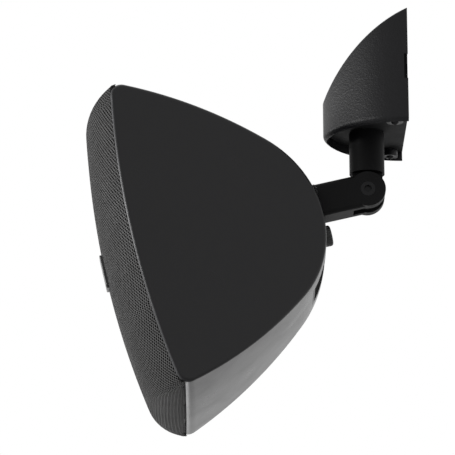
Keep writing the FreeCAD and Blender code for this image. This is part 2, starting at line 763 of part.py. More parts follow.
def baffle():
    board = mouth_form("baffle_board", S.cab_wall + S.fit_gap, S.baffle_front, baffle_back)
    deep = S.baffle_thick * 2
    ahead = S.baffle_front - S.baffle_thick / 2
    tools = [
        rod("baffle_woofer_hole", S.woofer_hole, (0, ahead, -woofer_drop), deep, "y"),
        rod("baffle_tweeter_hole", S.tweeter_hole, (0, ahead, S.tweeter_rise), deep, "y"),
    ]
    for side, way in (("left", -1), ("right", 1)):
        tools.append(rod(f"baffle_port_hole_{side}", port_skirt + S.fit_gap,
                         (port_offset * way, ahead, port_rise), deep, "y"))
    for n, (x, z) in enumerate(baffle_screw_places() + driver_screw_places()):
        tools.append(rod(f"baffle_screw_hole_{n}", S.screw_radius + S.screw_room, (x, ahead, z), deep, "y"))
    keep(cut("front_baffle", board, *tools), speaker)
    outer = mouth_form("seal_outer", S.cab_wall + S.fit_gap, baffle_back, baffle_back + S.seal_thick)
    inner = mouth_form("seal_inner", S.cab_wall + S.ledge_width, baffle_back - S.fit_gap,
                       baffle_back + S.seal_thick + S.fit_gap)
    holes = [rod(f"seal_screw_hole_{n}", S.screw_radius + S.screw_room, (x, ahead, z), deep, "y")
             for n, (x, z) in enumerate(baffle_screw_places())]
    keep(cut("baffle_seal", outer, inner, *holes), speaker)
    places = [facing_back(x, S.baffle_front, z) for x, z in baffle_screw_places()]
    group("baffle_screws", wood_screw("baffle_screw"), places, speaker)


def wood_screw(label, length=S.screw_length):
    """A domed screw whose head sits on z = 0 and whose shank runs up z."""
    dome = S.screw_head * 2
    return turned(label, ((0, -S.screw_head_height), (S.screw_head, 0, dome), (S.screw_radius, 0),
                          (S.screw_radius, length - S.screw_radius), (0, length)))


def grille():
    sheet_inset = S.rim_lip + S.grille_gap
    outer = pillow_form("grille_outer", sheet_inset)
    inner = pillow_form("grille_inner", sheet_inset + S.grille_sheet)
    keep(cut("grille", outer, inner), speaker)
    cloth_inset = sheet_inset + S.grille_sheet + S.cloth_gap
    cloth = pillow_form("cloth_outer", cloth_inset)
    bare = pillow_form("cloth_inner", cloth_inset + S.cloth_sheet)
    keep(cut("grille_cloth", cloth, bare), speaker)
    plate = new_body("grille_badge")
    outline = Sketch(plate, "badge_outline", "XZ_Plane", S.front_bow + S.grille_bulge)
    outline.box(0, 0, S.badge_width, S.badge_height)
    pad(plate, outline, S.badge_thick)
    fillet(plate, S.badge_corner, lambda edge: abs(edge.tangentAt(edge.FirstParameter).y) > 1 - 1e-6)
    front = -(S.front_bow + S.grille_bulge + S.badge_thick).value
    fillet(plate, S.badge_edge, lambda edge: abs(edge.BoundBox.YMax - front) < 1e-6)
    keep(plate, speaker)


def ring_places(radius, count, frame_z, start=0.5):
    """Places evenly round a turned piece's z axis."""
    number = round(count.value)
    angles = [2 * math.pi * (n + start) / number for n in range(number)]
    return [place(radius.value * math.cos(a), radius.value * math.sin(a), frame_z) for a in angles]


def cone_face(radius):
    """Depth of the cone's front face at a radius."""
    rim = vector(S.roll_inner, -S.woofer_flange)
    neck = vector(cone_neck_radius, S.cone_neck)
    chord = neck - rim
    rise = math.sqrt(S.cone_flare.value ** 2 - chord.Length ** 2 / 4)
    centre = (rim + neck) / 2 + V(chord.y, -chord.x, 0).normalize() * rise
    return as_size(centre.y - math.sqrt(S.cone_flare.value ** 2 - (radius.value - centre.x) ** 2))


def woofer_basket(frame):
    """The pressed frame: flange, windowed cone and the plate that carries the magnet."""
    wall = S.frame_wall
    lip = S.woofer_hole - S.fit_gap
    foot = S.frame_foot
    depth = S.frame_depth
    shoulder = depth - wall * 3
    basket = turned("woofer_basket", (
        (S.woofer_radius, -S.woofer_flange), (S.woofer_radius, 0), (lip, 0), (lip, S.baffle_thick),
        (foot, shoulder), (foot, depth + wall), (gap_hole, depth + wall), (gap_hole, depth),
        (foot - wall, depth), (foot - wall, shoulder), (lip - wall, S.baffle_thick - wall),
        (lip - wall, -S.woofer_flange)))
    window = Sketch(basket, "basket_window", "YZ_Plane")
    window.box(0, (S.window_front + S.window_back) / 2, S.spoke_window, S.window_back - S.window_front)
    around(basket, pocket(basket, window, S.woofer_radius, reverse=True), S.spoke_count)
    hole = Sketch(basket, "basket_screw_hole", "XY_Plane", S.woofer_flange)
    turn_back = math.pi / S.woofer_screws.value
    hole.circle(S.woofer_screw_ring * math.cos(turn_back), S.woofer_screw_ring * math.sin(turn_back),
                S.screw_radius + S.screw_room)
    around(basket, pocket(basket, hole, S.woofer_flange * 3), S.woofer_screws)
    keep(basket, frame)


def woofer_soft_parts(frame):
    """Surround, cone, dust cap and spider."""
    top = -S.woofer_flange
    sheet_thick = S.roll_sheet
    crest = top - sheet_thick
    roll = (S.roll_outer - S.roll_inner) / 2
    under = roll - sheet_thick
    middle = (S.roll_outer + S.roll_inner) / 2
    keep(turned("woofer_surround", (
        (S.surround_lip, top), (S.surround_lip, crest), (S.roll_outer, crest),
        (middle, crest - roll, -roll), (S.roll_inner, crest, -roll), (S.surround_inner, crest),
        (S.surround_inner, top), (S.roll_inner + sheet_thick, top), (S.roll_inner + sheet_thick, crest),
        (middle, crest - under, under), (S.roll_outer - sheet_thick, crest, under),
        (S.roll_outer - sheet_thick, top))), frame)
    keep(turned("woofer_trim_ring", (
        (S.trim_inner, crest - S.trim_thick), (S.trim_outer, crest - S.trim_thick), (S.trim_outer, top),
        (S.surround_lip + S.fit_gap, top), (S.surround_lip + S.fit_gap, crest),
        (S.trim_inner, crest))), frame)
    back = S.cone_sheet * 2
    keep(turned("woofer_cone", (
        (S.roll_inner, top), (cone_neck_radius, S.cone_neck, -S.cone_flare),
        (cone_neck_radius, S.cone_neck + back), (S.roll_inner, top + S.cone_sheet, S.cone_flare))), frame)
    seat = cone_face(S.cap_radius) - S.fit_gap
    dome = S.cap_dome
    inside = dome - S.cone_sheet
    drop = root(dome * dome - S.cap_radius * S.cap_radius)
    apex = seat + drop - dome
    inner_rim = root(inside * inside - drop * drop)
    keep(turned("woofer_dust_cap", (
        (S.cap_radius, seat), (0, apex, -dome), (0, apex + S.cone_sheet), (inner_rim, seat, inside))), frame)
    keep(spider(), frame)


def spider():
    """The corrugated disc between the former and the frame's foot."""
    inner = cone_neck_radius
    outer = S.frame_foot - S.frame_wall - S.fit_gap
    waves = 4
    step = (outer - inner) / waves
    bend = (step * step / 4 + S.spider_wave * S.spider_wave) / (S.spider_wave * 2)
    front = [(inner, S.spider_seat)]
    for n in range(waves):
        front.append((inner + step * (n + 1), S.spider_seat, bend if n % 2 else -bend))
    back = [(outer, S.spider_seat + S.spider_sheet)]
    for n in reversed(range(waves)):
        back.append((inner + step * n, S.spider_seat + S.spider_sheet, -bend if n % 2 else bend))
    return turned("woofer_spider", tuple(front + back))


def woofer_motor(frame):
    """Voice coil, front plate, magnet and yoke."""
    former = S.coil_radius + S.former_wall
    winding = former + S.winding_wall
    start = S.coil_end - S.winding_length
    keep(turned("woofer_voice_coil", (
        (S.coil_radius, S.cone_neck), (former, S.cone_neck), (former, start), (winding, start),
        (winding, S.coil_end), (S.coil_radius, S.coil_end))), frame)
    plate = S.frame_depth + S.frame_wall
    magnet = plate + S.plate_thick
    yoke = magnet + S.magnet_thick
    pole = S.coil_radius - S.air_gap
    keep(turned("woofer_front_plate", ring(gap_hole, S.plate_radius, plate, magnet)), frame)
    keep(turned("woofer_magnet", ring(S.magnet_hole, S.magnet_radius, magnet, yoke)), frame)
    keep(turned("woofer_yoke", (
        (0, plate), (pole, plate), (pole, yoke), (S.yoke_radius, yoke),
        (S.yoke_radius, yoke + S.yoke_thick), (0, yoke + S.yoke_thick))), frame)


def woofer():
    """The bass driver, drawn about z with its mounting face at z = 0 and its magnet above."""
    frame = speaker.multiply(facing_back(0, S.baffle_front, -woofer_drop))
    woofer_basket(frame)
    woofer_soft_parts(frame)
    woofer_motor(frame)
    places = ring_places(S.woofer_screw_ring, S.woofer_screws, -S.woofer_flange)
    group("woofer_screws", wood_screw("woofer_screw", S.driver_screw_length), places, frame)


def tweeter():
    """The treble driver, drawn like the bass driver."""
    frame = speaker.multiply(facing_back(0, S.baffle_front, S.tweeter_rise))
    seat = S.horn_depth - S.tweeter_plate
    spigot = S.tweeter_hole - S.fit_gap
    plate = turned("tweeter_plate", (
        (S.horn_mouth, -S.tweeter_plate), (S.tweeter_radius, -S.tweeter_plate), (S.tweeter_radius, 0),
        (spigot, 0), (spigot, seat), (S.dome_radius + S.screw_room, seat)))
    hole = Sketch(plate, "tweeter_screw_hole", "XY_Plane", S.tweeter_plate)
    side = S.tweeter_screw_ring * math.sqrt(0.5)
    hole.circle(side, side, S.screw_radius + S.screw_room)
    around(plate, pocket(plate, hole, S.tweeter_plate * 3), S.tweeter_screws)
    keep(plate, frame)
    inside = S.dome_sphere - S.dome_sheet
    drop = root(S.dome_sphere * S.dome_sphere - S.dome_radius * S.dome_radius)
    apex = seat + drop - S.dome_sphere
    back = seat + S.dome_sheet
    inner_rim = root(inside * inside - (drop - S.dome_sheet) * (drop - S.dome_sheet))
    keep(turned("tweeter_dome", (
        (S.dome_radius, seat), (0, apex, -S.dome_sphere), (0, apex + S.dome_sheet), (inner_rim, back, inside),
        (S.dome_lip, back), (S.dome_lip, seat))), frame)
    end = back + S.tweeter_magnet_thick
    keep(turned("tweeter_magnet", (
        (0, back + S.coil_recess), (S.dome_radius, back + S.coil_recess), (S.dome_radius, back),
        (S.tweeter_magnet, back), (S.tweeter_magnet, end), (0, end))), frame)
    places = ring_places(S.tweeter_screw_ring, S.tweeter_screws, -S.tweeter_plate)
    group("tweeter_screws", wood_screw("tweeter_screw", S.driver_screw_length), places, frame)


def ports():
    """Two flared bass ports between the drivers."""
    mouth = port_skirt + S.port_flare
    front = -S.port_wall
    for side, way in (("left", -1), ("right", 1)):
        tube = turned(f"port_tube_{side}", (
            (mouth, front), (mouth, 0), (port_skirt, 0), (port_skirt, S.port_length),
            (S.port_bore, S.port_length), (S.port_bore, front + S.port_flare),
            (S.port_bore + S.port_flare, front, S.port_flare)))
        keep(tube, speaker.multiply(facing_back(port_offset * way, S.baffle_front, port_rise)))


def arm():
    """The cast arm: flange, bar, forked knuckle and the screws that hold it."""
    body = new_body("arm")
    bar = Sketch(body, "arm_bar", "YZ_Plane")
    low = S.arm_rise - S.arm_height / 2
    high = S.arm_rise + S.arm_height / 2
    bar.loop((arm_seat, low), (pivot_depth, low), (pivot_depth, high), (arm_seat, high))
    pad(body, bar, S.arm_width, symmetric=True)
    fillet(body, S.arm_soften, lambda edge: edge.BoundBox.YLength > edge.BoundBox.DiagonalLength / 2)
    eye = Sketch(body, "arm_knuckle", "YZ_Plane")
    eye.circle(pivot_depth, S.arm_rise, S.knuckle_radius)
    pad(body, eye, S.arm_width, symmetric=True)
    flange = Sketch(body, "arm_flange", "XZ_Plane", -arm_seat)
    flange.box(0, S.arm_rise, S.flange_width, S.flange_height)
    pad(body, flange, S.flange_thick, reverse=True)
    corner = (S.flange_width / 2).value
    fillet(body, S.flange_corner, lambda edge: abs(abs(edge.CenterOfMass.x) - corner) < 1e-6
           and edge.BoundBox.YLength > edge.BoundBox.DiagonalLength / 2)
    slot = Sketch(body, "arm_slot", "YZ_Plane")
    room = S.knuckle_radius + S.joint_gap
    slot.loop((pivot_depth - room, S.arm_rise - room), (pivot_depth + room, S.arm_rise - room),
              (pivot_depth + room, S.arm_rise + room), (pivot_depth - room, S.arm_rise + room))
    pocket(body, slot, S.tongue_thick + S.joint_gap * 2, symmetric=True)
    bore = Sketch(body, "arm_bore", "YZ_Plane")
    bore.circle(pivot_depth, S.arm_rise, S.pin_radius + S.run_gap)
    pocket(body, bore, S.arm_width * 2, symmetric=True)
    for way, name, radius, depth in ((1, "head", S.pin_head, S.pin_head_depth),
                                     (-1, "nut", nut_corner, S.nut_thick)):
        sink = Sketch(body, f"arm_{name}_sink", "YZ_Plane", S.arm_width / 2 * way)
        sink.circle(pivot_depth, S.arm_rise, radius + S.screw_room)
        pocket(body, sink, depth, reverse=way < 0)
    holes = Sketch(body, "arm_screw_holes", "XZ_Plane", -arm_seat)
    for x, z in flange_screw_places():
        holes.circle(x, z, S.bolt_shank + S.screw_room)
    pocket(body, holes, S.flange_thick)
    keep(body, speaker)
    screw = turned("flange_screw", (
        (0, -S.bolt_head_height), (S.bolt_head / 2, -S.bolt_head_height), (S.bolt_head, 0, S.bolt_head),
        (S.bolt_shank, 0), (S.bolt_shank, S.bolt_length), (0, S.bolt_length)))
    top = arm_seat + S.flange_thick
    places = [place(x, top, z, X_AXIS, 90) for x, z in flange_screw_places()]
    group("flange_screws", screw, places, speaker)
    knuckle = speaker.multiply(place(0, pivot_depth, S.arm_rise, V(0, 1, 0), 90))
    half = S.arm_width / 2
    keep(turned("knuckle_pin", (
        (0, -half), (S.pin_radius, -half), (S.pin_radius, half - S.pin_head_depth),
        (S.pin_head, half - S.pin_head_depth), (S.pin_head, half), (S.pin_head / 2, half),
        (S.pin_head / 2, half - S.pin_head_depth / 2), (0, half - S.pin_head_depth / 2))), knuckle)
    keep(hex_nut("knuckle_nut", S.nut_flats, S.pin_radius + S.run_gap, -half, S.nut_thick), knuckle)


def hex_nut(label, flats, bore, low, thick):
    """A six-sided nut about z."""
    body = new_body(label)
    outline = Sketch(body, f"{label}_outline", "XY_Plane", low)
    across = flats / math.sqrt(3)
    angles = [n * math.pi / 3 for n in range(6)]
    outline.loop(*[(across * math.cos(angle), across * math.sin(angle)) for angle in angles])
    outline.circle(0, 0, bore)
    pad(body, outline, thick)
    return body


def post():
    """The swivelling post with its tongue, and what holds its stem in the bracket."""
    seat = shelf_under - S.washer_thick - S.fit_gap + S.knuckle_drop
    body = turned("swivel_post", (
        (0, S.post_foot), (S.post_radius, S.post_foot), (S.post_radius, seat), (S.stem_radius, seat),
        (S.stem_radius, S.stem_top), (0, S.stem_top)))
    tongue = Sketch(body, "post_tongue", "YZ_Plane")
    wide = S.tongue_round
    tongue.loop((-wide, 0), (wide, 0), (wide, S.post_foot), (-wide, S.post_foot))
    pad(body, tongue, S.tongue_thick, symmetric=True)
    end = Sketch(body, "post_tongue_end", "YZ_Plane")
    end.circle(0, 0, wide)
    pad(body, end, S.tongue_thick, symmetric=True)
    eye = Sketch(body, "post_bore", "YZ_Plane")
    eye.circle(0, 0, S.pin_radius + S.run_gap)
    pocket(body, eye, S.tongue_thick * 2, symmetric=True)
    keep(body, post_frame)
    bore = S.stem_radius + S.run_gap
    keep(turned("thrust_washer", ring(bore, S.washer_radius, seat, seat + S.washer_thick)), post_frame)
    top = boss_top + S.knuckle_drop + S.bush_wall + S.fit_gap
    keep(turned("pan_washer", ring(bore, S.washer_radius, top, top + S.washer_thick)), post_frame)
    keep(hex_nut("pan_nut", S.pan_nut_flats, bore, top + S.washer_thick, S.pan_nut_thick), post_frame)


def cover_plan(sketch, inset, back):
    """The cover's plan: two side arcs that meet a round nose, closed along a line at the back."""
    side = (S.cover_half * S.cover_half + (S.cover_depth - S.nose_round) * (S.cover_depth - S.nose_round)
            - S.nose_round * S.nose_round) / ((S.cover_half - S.nose_round) * 2)
    nose = -(S.cover_depth - S.nose_round)
    offset = side - S.cover_half
    along = nose / (side - S.nose_round)
    across = offset / (side - S.nose_round)
    touch_x = across * (S.nose_round - inset)
    touch_y = nose + along * (S.nose_round - inset)
    half = S.cover_half - inset
    rear = ((half, back), (-half, back)) if back.value else ()
    sketch.loop(*rear, (-half, 0), (-touch_x, touch_y, side - inset),
                (touch_x, touch_y, S.nose_round - inset), (half, 0, side - inset))


def roof_cut(body, label, inset):
    """Take off what lies above the sloped roof, set in by a size."""
    front = S.cover_depth - inset
    margin = S.section_margin
    above = S.cover_top + S.cover_depth
    chord = vector(S.cover_depth, S.cover_top + S.cover_kink)
    rise = math.sqrt(S.roof_round.value ** 2 - chord.Length ** 2 / 4)
    middle = vector(-S.cover_depth / 2, (S.cover_top - S.cover_kink) / 2)
    centre = middle + V(chord.y, -chord.x, 0).normalize() * rise
    radius = S.roof_round - inset

    def roof_at(y):
        return as_size(centre.y + math.sqrt(radius.value ** 2 - (centre.x - y.value) ** 2))

    foot = roof_at(-front)
    roof = Sketch(body, f"{label}_roof", "YZ_Plane")
    roof.loop((margin, above), (-front - margin, above), (-front - margin, foot), (-front, foot),
              (margin, roof_at(margin), -radius))
    pocket(body, roof, S.cover_half * 4, symmetric=True)


def bracket_cover():
    """The moulded cover, open at the wall and below, with two screwed lugs."""
    tall = S.cover_bottom + S.cover_top + S.cover_wall
    skin = new_body("cover_skin")
    plan = Sketch(skin, "cover_plan", "XY_Plane", -S.cover_bottom)
    cover_plan(plan, NOTHING, NOTHING)
    pad(skin, plan, tall)
    roof_cut(skin, "cover_skin", NOTHING)
    low = -S.cover_bottom.value
    fillet(skin, S.cover_soften, lambda edge: edge.BoundBox.ZMax < low + 1e-6 and edge.BoundBox.YMin < -1e-3)
    kink = -S.cover_kink.value
    fillet(skin, S.roof_soften, lambda edge: edge.BoundBox.ZMax > kink + 1 and edge.BoundBox.YMin < -1
           and edge.BoundBox.ZMin > low / 2)
    inside = new_body("cover_inside")
    bare = Sketch(inside, "cover_inner_plan", "XY_Plane", -S.cover_bottom - S.section_margin)
    cover_plan(bare, S.cover_wall, S.section_margin)
    pad(inside, bare, tall + S.section_margin)
    roof_cut(inside, "cover_inside", S.cover_wall)
    shell = cut("cover_shell", skin, inside)
    lugs = []
    holes = []
    foot = -S.cover_bottom + S.screw_head_height
    for n, x in enumerate((S.lug_spread, -S.lug_spread)):
        lugs.append(rod(f"cover_lug_{n}", S.lug_radius, (x, -S.lug_reach, foot), shelf_under - foot))
        holes.append(rod(f"cover_lug_hole_{n}", S.screw_radius + S.screw_room, (x, -S.lug_reach, foot),
                         shelf_under - foot))
    stubs = shared("cover_lugs", joined("cover_lug_rods", *lugs), skin)
    notch = block("cover_notch", (-S.cover_half * 2, -S.notch_deep, -S.notch_drop),
                  (S.cover_half * 2, S.section_margin, S.notch_tall - S.notch_drop))
    keep(cut("bracket_cover", joined("cover_moulding", shell, stubs), *holes, notch))
    places = [place(x, -S.lug_reach, foot) for x in (S.lug_spread, -S.lug_spread)]
    group("cover_screws", wood_screw("cover_screw"), places)


def bracket():
    """The cast bracket: back plate, shelf, boss and ribs, with the bush that the post turns in."""
    body = new_body("wall_bracket")
    back = Sketch(body, "bracket_back", "XZ_Plane")
    back.loop((-S.plate_half, shelf_under), (S.plate_half, shelf_under), (S.plate_half, S.plate_top),
              (-S.plate_half, S.plate_top))
    for x in (S.wall_hole_x / 2, -S.wall_hole_x / 2):
        for z in (S.wall_hole_z / 2, -S.wall_hole_z / 2):
            back.circle(x, z, S.wall_hole)
    pad(body, back, S.back_plate)
    shelf = Sketch(body, "bracket_shelf", "XY_Plane", shelf_under)
    cover_plan(shelf, S.cover_wall + S.fit_gap, NOTHING)
    pad(body, shelf, S.shelf_thick)
    boss = Sketch(body, "bracket_boss", "XY_Plane", shelf_under)
    boss.circle(0, -S.pan_reach, S.boss_radius)
    pad(body, boss, S.boss_height)
    top = shelf_under + S.shelf_thick
    for way in (1, -1):
        rib = Sketch(body, f"bracket_rib_{'right' if way > 0 else 'left'}", "YZ_Plane", S.rib_offset * way)
        rib.loop((-S.back_plate / 2, top - S.shelf_thick / 2), (-S.rib_reach, top - S.shelf_thick / 2),
                 (-S.rib_reach, top), (-S.back_plate / 2, top + S.rib_height))
        pad(body, rib, S.rib_thick, symmetric=True)
    bore = Sketch(body, "bracket_bore", "XY_Plane", boss_top)
    bush_outer = S.stem_radius + S.run_gap + S.bush_wall
    bore.circle(0, -S.pan_reach, bush_outer + S.run_gap)
    pocket(body, bore, S.boss_height)
    lugs = Sketch(body, "bracket_lug_holes", "XY_Plane", top)
    for x in (S.lug_spread, -S.lug_spread):
        lugs.circle(x, -S.lug_reach, S.screw_radius + S.screw_room)
    pocket(body, lugs, S.shelf_thick)
    keep(body)
    bush_inner = S.stem_radius + S.run_gap
    bush_top = boss_top + S.bush_wall
    keep(turned("pan_bush", (
        (bush_inner, shelf_under), (bush_outer, shelf_under), (bush_outer, boss_top),
        (S.washer_radius, boss_top), (S.washer_radius, bush_top), (bush_inner, bush_top))),
        place(0, -S.pan_reach, 0))


def level_control():
    """The treble level knob on the back and the control behind it."""
    frame = speaker.multiply(facing_back(0, cab_back - S.knob_seat, -S.knob_drop))
    wall = S.rear_wall - S.knob_seat
    end = -wall - S.control_depth
    tip = end + S.knob_seat * 2
    top = S.knob_seat + S.knob_proud
    knob = turned("level_knob", (
        (0, tip), (S.spindle_radius, tip), (S.spindle_radius, S.joint_gap),
        (S.knob_radius, S.joint_gap), (S.knob_radius, top - S.knob_round),
        (S.knob_radius - S.knob_round, top, S.knob_round), (0, top)))
    flute = Sketch(knob, "knob_flute", "XY_Plane", top)
    flute.circle(S.knob_radius + S.flute_radius / 2, 0, S.flute_radius)
    around(knob, pocket(knob, flute, S.knob_proud), S.flute_count)
    mark = Sketch(knob, "knob_mark", "XY_Plane", top)
    mark.box(0, -S.knob_radius / 2, S.flute_radius, S.knob_radius / 2)
    pocket(knob, mark, S.flute_radius / 2)
    keep(knob, frame)
    bore = S.spindle_radius + S.run_gap
    keep(turned("level_control", (
        (bore, -wall), (S.control_radius, -wall), (S.control_radius, end), (0, end), (0, end + S.knob_seat),
        (bore, end + S.knob_seat))), frame)


def terminals():
    """The recessed cup on the back with two screw terminals."""
    floor = S.cup_floor + S.cup_wall
    blank = shared("cup_blank", cup_block("cup_outside", NOTHING, S.cup_floor, cab_back + S.section_margin),
                   doc.getObject("cabinet_skin"))
    gap = S.cup_floor - S.board_gap
    feet = [rod(f"cup_standoff_{n}", S.standoff, (x, gap, z), S.board_gap + S.cup_wall / 2, "y")
            for n, (x, z) in enumerate(standoff_places())]
    tools = [cup_block("cup_inside", -S.cup_wall, floor, cab_back + S.section_margin * 2)]
    for n, x in enumerate((S.post_spacing / 2, -S.post_spacing / 2)):
        tools.append(rod(f"cup_stud_hole_{n}", S.post_stud + S.screw_room, (x, S.cup_floor, -S.cup_drop),
                         S.cup_wall * 2, "y"))
    keep(cut("terminal_cup", joined("cup_moulding", blank, *feet), *tools), speaker)
    stud_end = S.post_base_height + S.cap_height + S.post_stud
    stud = turned("terminal_stud", (
        (0, -S.cup_wall * 2), (S.post_stud, -S.cup_wall * 2), (S.post_stud, 0), (S.post_base, 0),
        (S.post_base, S.post_base_height), (S.post_stud, S.post_base_height), (S.post_stud, stud_end),
        (0, stud_end)))
    spots = [facing_back(S.post_spacing / 2 * way, floor, -S.cup_drop) for way in (1, -1)]
    group("terminal_posts", stud, spots, speaker)
    low = S.post_base_height + S.fit_gap
    high = low + S.cap_height
    for side, spot in zip(("right", "left"), spots):
        cap = turned(f"terminal_nut_{side}", ring(S.post_stud + S.run_gap, S.cap_grip, low, high))
        flute = Sketch(cap, f"nut_flute_{side}", "XY_Plane", high)
        flute.circle(S.cap_grip + S.flute_radius / 2, 0, S.flute_radius)
        around(cap, pocket(cap, flute, S.cap_height), S.flute_count / 2)
        keep(cap, speaker.multiply(spot))


def standoff_places():
    return [(S.standoff_x * a, -S.cup_drop + S.standoff_z * b) for a in (1, -1) for b in (1, -1)]


def crossover():
    """The dividing network on its board behind the terminal cup."""
    back = S.cup_floor - S.board_gap
    front = back - S.board_thick
    half = S.board_width / 2
    low = -S.board_drop - S.board_height / 2
    high = -S.board_drop + S.board_height / 2
    keep(block_at("crossover_board", (-half, front, low), (half, back, high)), speaker)
    choke = turned("crossover_choke", ring(S.choke_bore, S.choke_radius, 0, S.choke_height))
    keep(choke, speaker.multiply(place(half - S.choke_radius, front, -S.board_drop, X_AXIS, 90)))
    can = S.cap_body - S.run_gap
    lying = turned("crossover_capacitor", (
        (0, 0), (can, 0), (can, S.cap_body_length), (0, S.cap_body_length)))
    spots = [place(S.cap_body * (n * 2 - 3), front - S.cap_body, -S.board_drop - S.cap_body_length / 2)
             for n in (0, 1)]
    group("crossover_capacitors", lying, spots, speaker)
    side = -half + S.resistor_size
    under = -S.board_drop - S.resistor_length / 2
    keep(block_at("crossover_resistor", (-half, front - S.resistor_size, under),
                  (side, front, under + S.resistor_length)), speaker)


def block_at(label, low, high):
    """A plain block as a body of its own, between two corners."""
    body = new_body(label)
    plan = Sketch(body, f"{label}_plan", "XY_Plane", low[2])
    plan.loop((low[0], low[1]), (high[0], low[1]), (high[0], high[1]), (low[0], high[1]))
    pad(body, plan, as_size(high[2]) - as_size(low[2]))
    return body


bracket()
bracket_cover()
post()
arm()
cabinet()
baffle()
grille()
woofer()
tweeter()
ports()
level_control()
terminals()
crossover()

doc.recompute()
broken = [item.Label for item in doc.Objects if "Invalid" in item.State or "Error" in item.State]
for item in sub_parts:
    if item.Shape.isNull() or not item.Shape.isValid() or not item.Shape.Solids:
        broken.append(item.Label)
if broken:
    raise RuntimeError(f"not built: {sorted(set(broken))}")
os.makedirs("parts", exist_ok=True)
for item in sub_parts:
    item.Shape.exportStep(os.path.join("parts", f"{item.Label}.step"))
    print(f"{item.Label}: {len(item.Shape.Solids)} solid(s), {item.Shape.Volume / 1000:.2f} cm3")
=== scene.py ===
"""Wall speaker: finishes, perforated grille, small fittings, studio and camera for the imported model.

Sizes are in metres. The wall is the plane y = 0, the room lies towards -y and z points up. The
speaker's own frame, x across, s towards its back and v up its front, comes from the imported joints.
"""
import json
import logging
import math
from collections.abc import Sequence
from dataclasses import dataclass, field
from enum import Enum
from functools import reduce

import bmesh
import bpy
from mathutils import Matrix, Vector


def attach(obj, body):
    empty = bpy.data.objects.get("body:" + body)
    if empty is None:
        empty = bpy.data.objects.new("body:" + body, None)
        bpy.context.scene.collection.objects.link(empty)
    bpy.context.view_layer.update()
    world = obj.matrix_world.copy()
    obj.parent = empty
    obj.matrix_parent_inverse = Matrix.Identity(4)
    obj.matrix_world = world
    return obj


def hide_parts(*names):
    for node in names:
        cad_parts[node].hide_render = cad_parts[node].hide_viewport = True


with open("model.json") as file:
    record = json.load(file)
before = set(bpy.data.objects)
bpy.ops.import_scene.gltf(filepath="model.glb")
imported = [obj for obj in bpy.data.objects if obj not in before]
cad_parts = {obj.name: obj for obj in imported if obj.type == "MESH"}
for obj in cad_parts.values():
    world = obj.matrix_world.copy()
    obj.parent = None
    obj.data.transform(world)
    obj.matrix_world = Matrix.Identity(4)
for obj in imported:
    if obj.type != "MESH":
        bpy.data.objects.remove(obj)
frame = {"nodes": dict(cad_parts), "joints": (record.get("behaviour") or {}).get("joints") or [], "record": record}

logging.basicConfig(level=logging.INFO, format="%(name)s: %(message)s")
LOG = logging.getLogger("wall_speaker")

MM = 0.001
Colour = tuple[float, float, float]
Point = tuple[float, float, float]


class Body(Enum):
    """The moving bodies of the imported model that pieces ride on."""

    BRACKET = "bracket"
    SPEAKER = "speaker"
    KNOB = "level_knob"


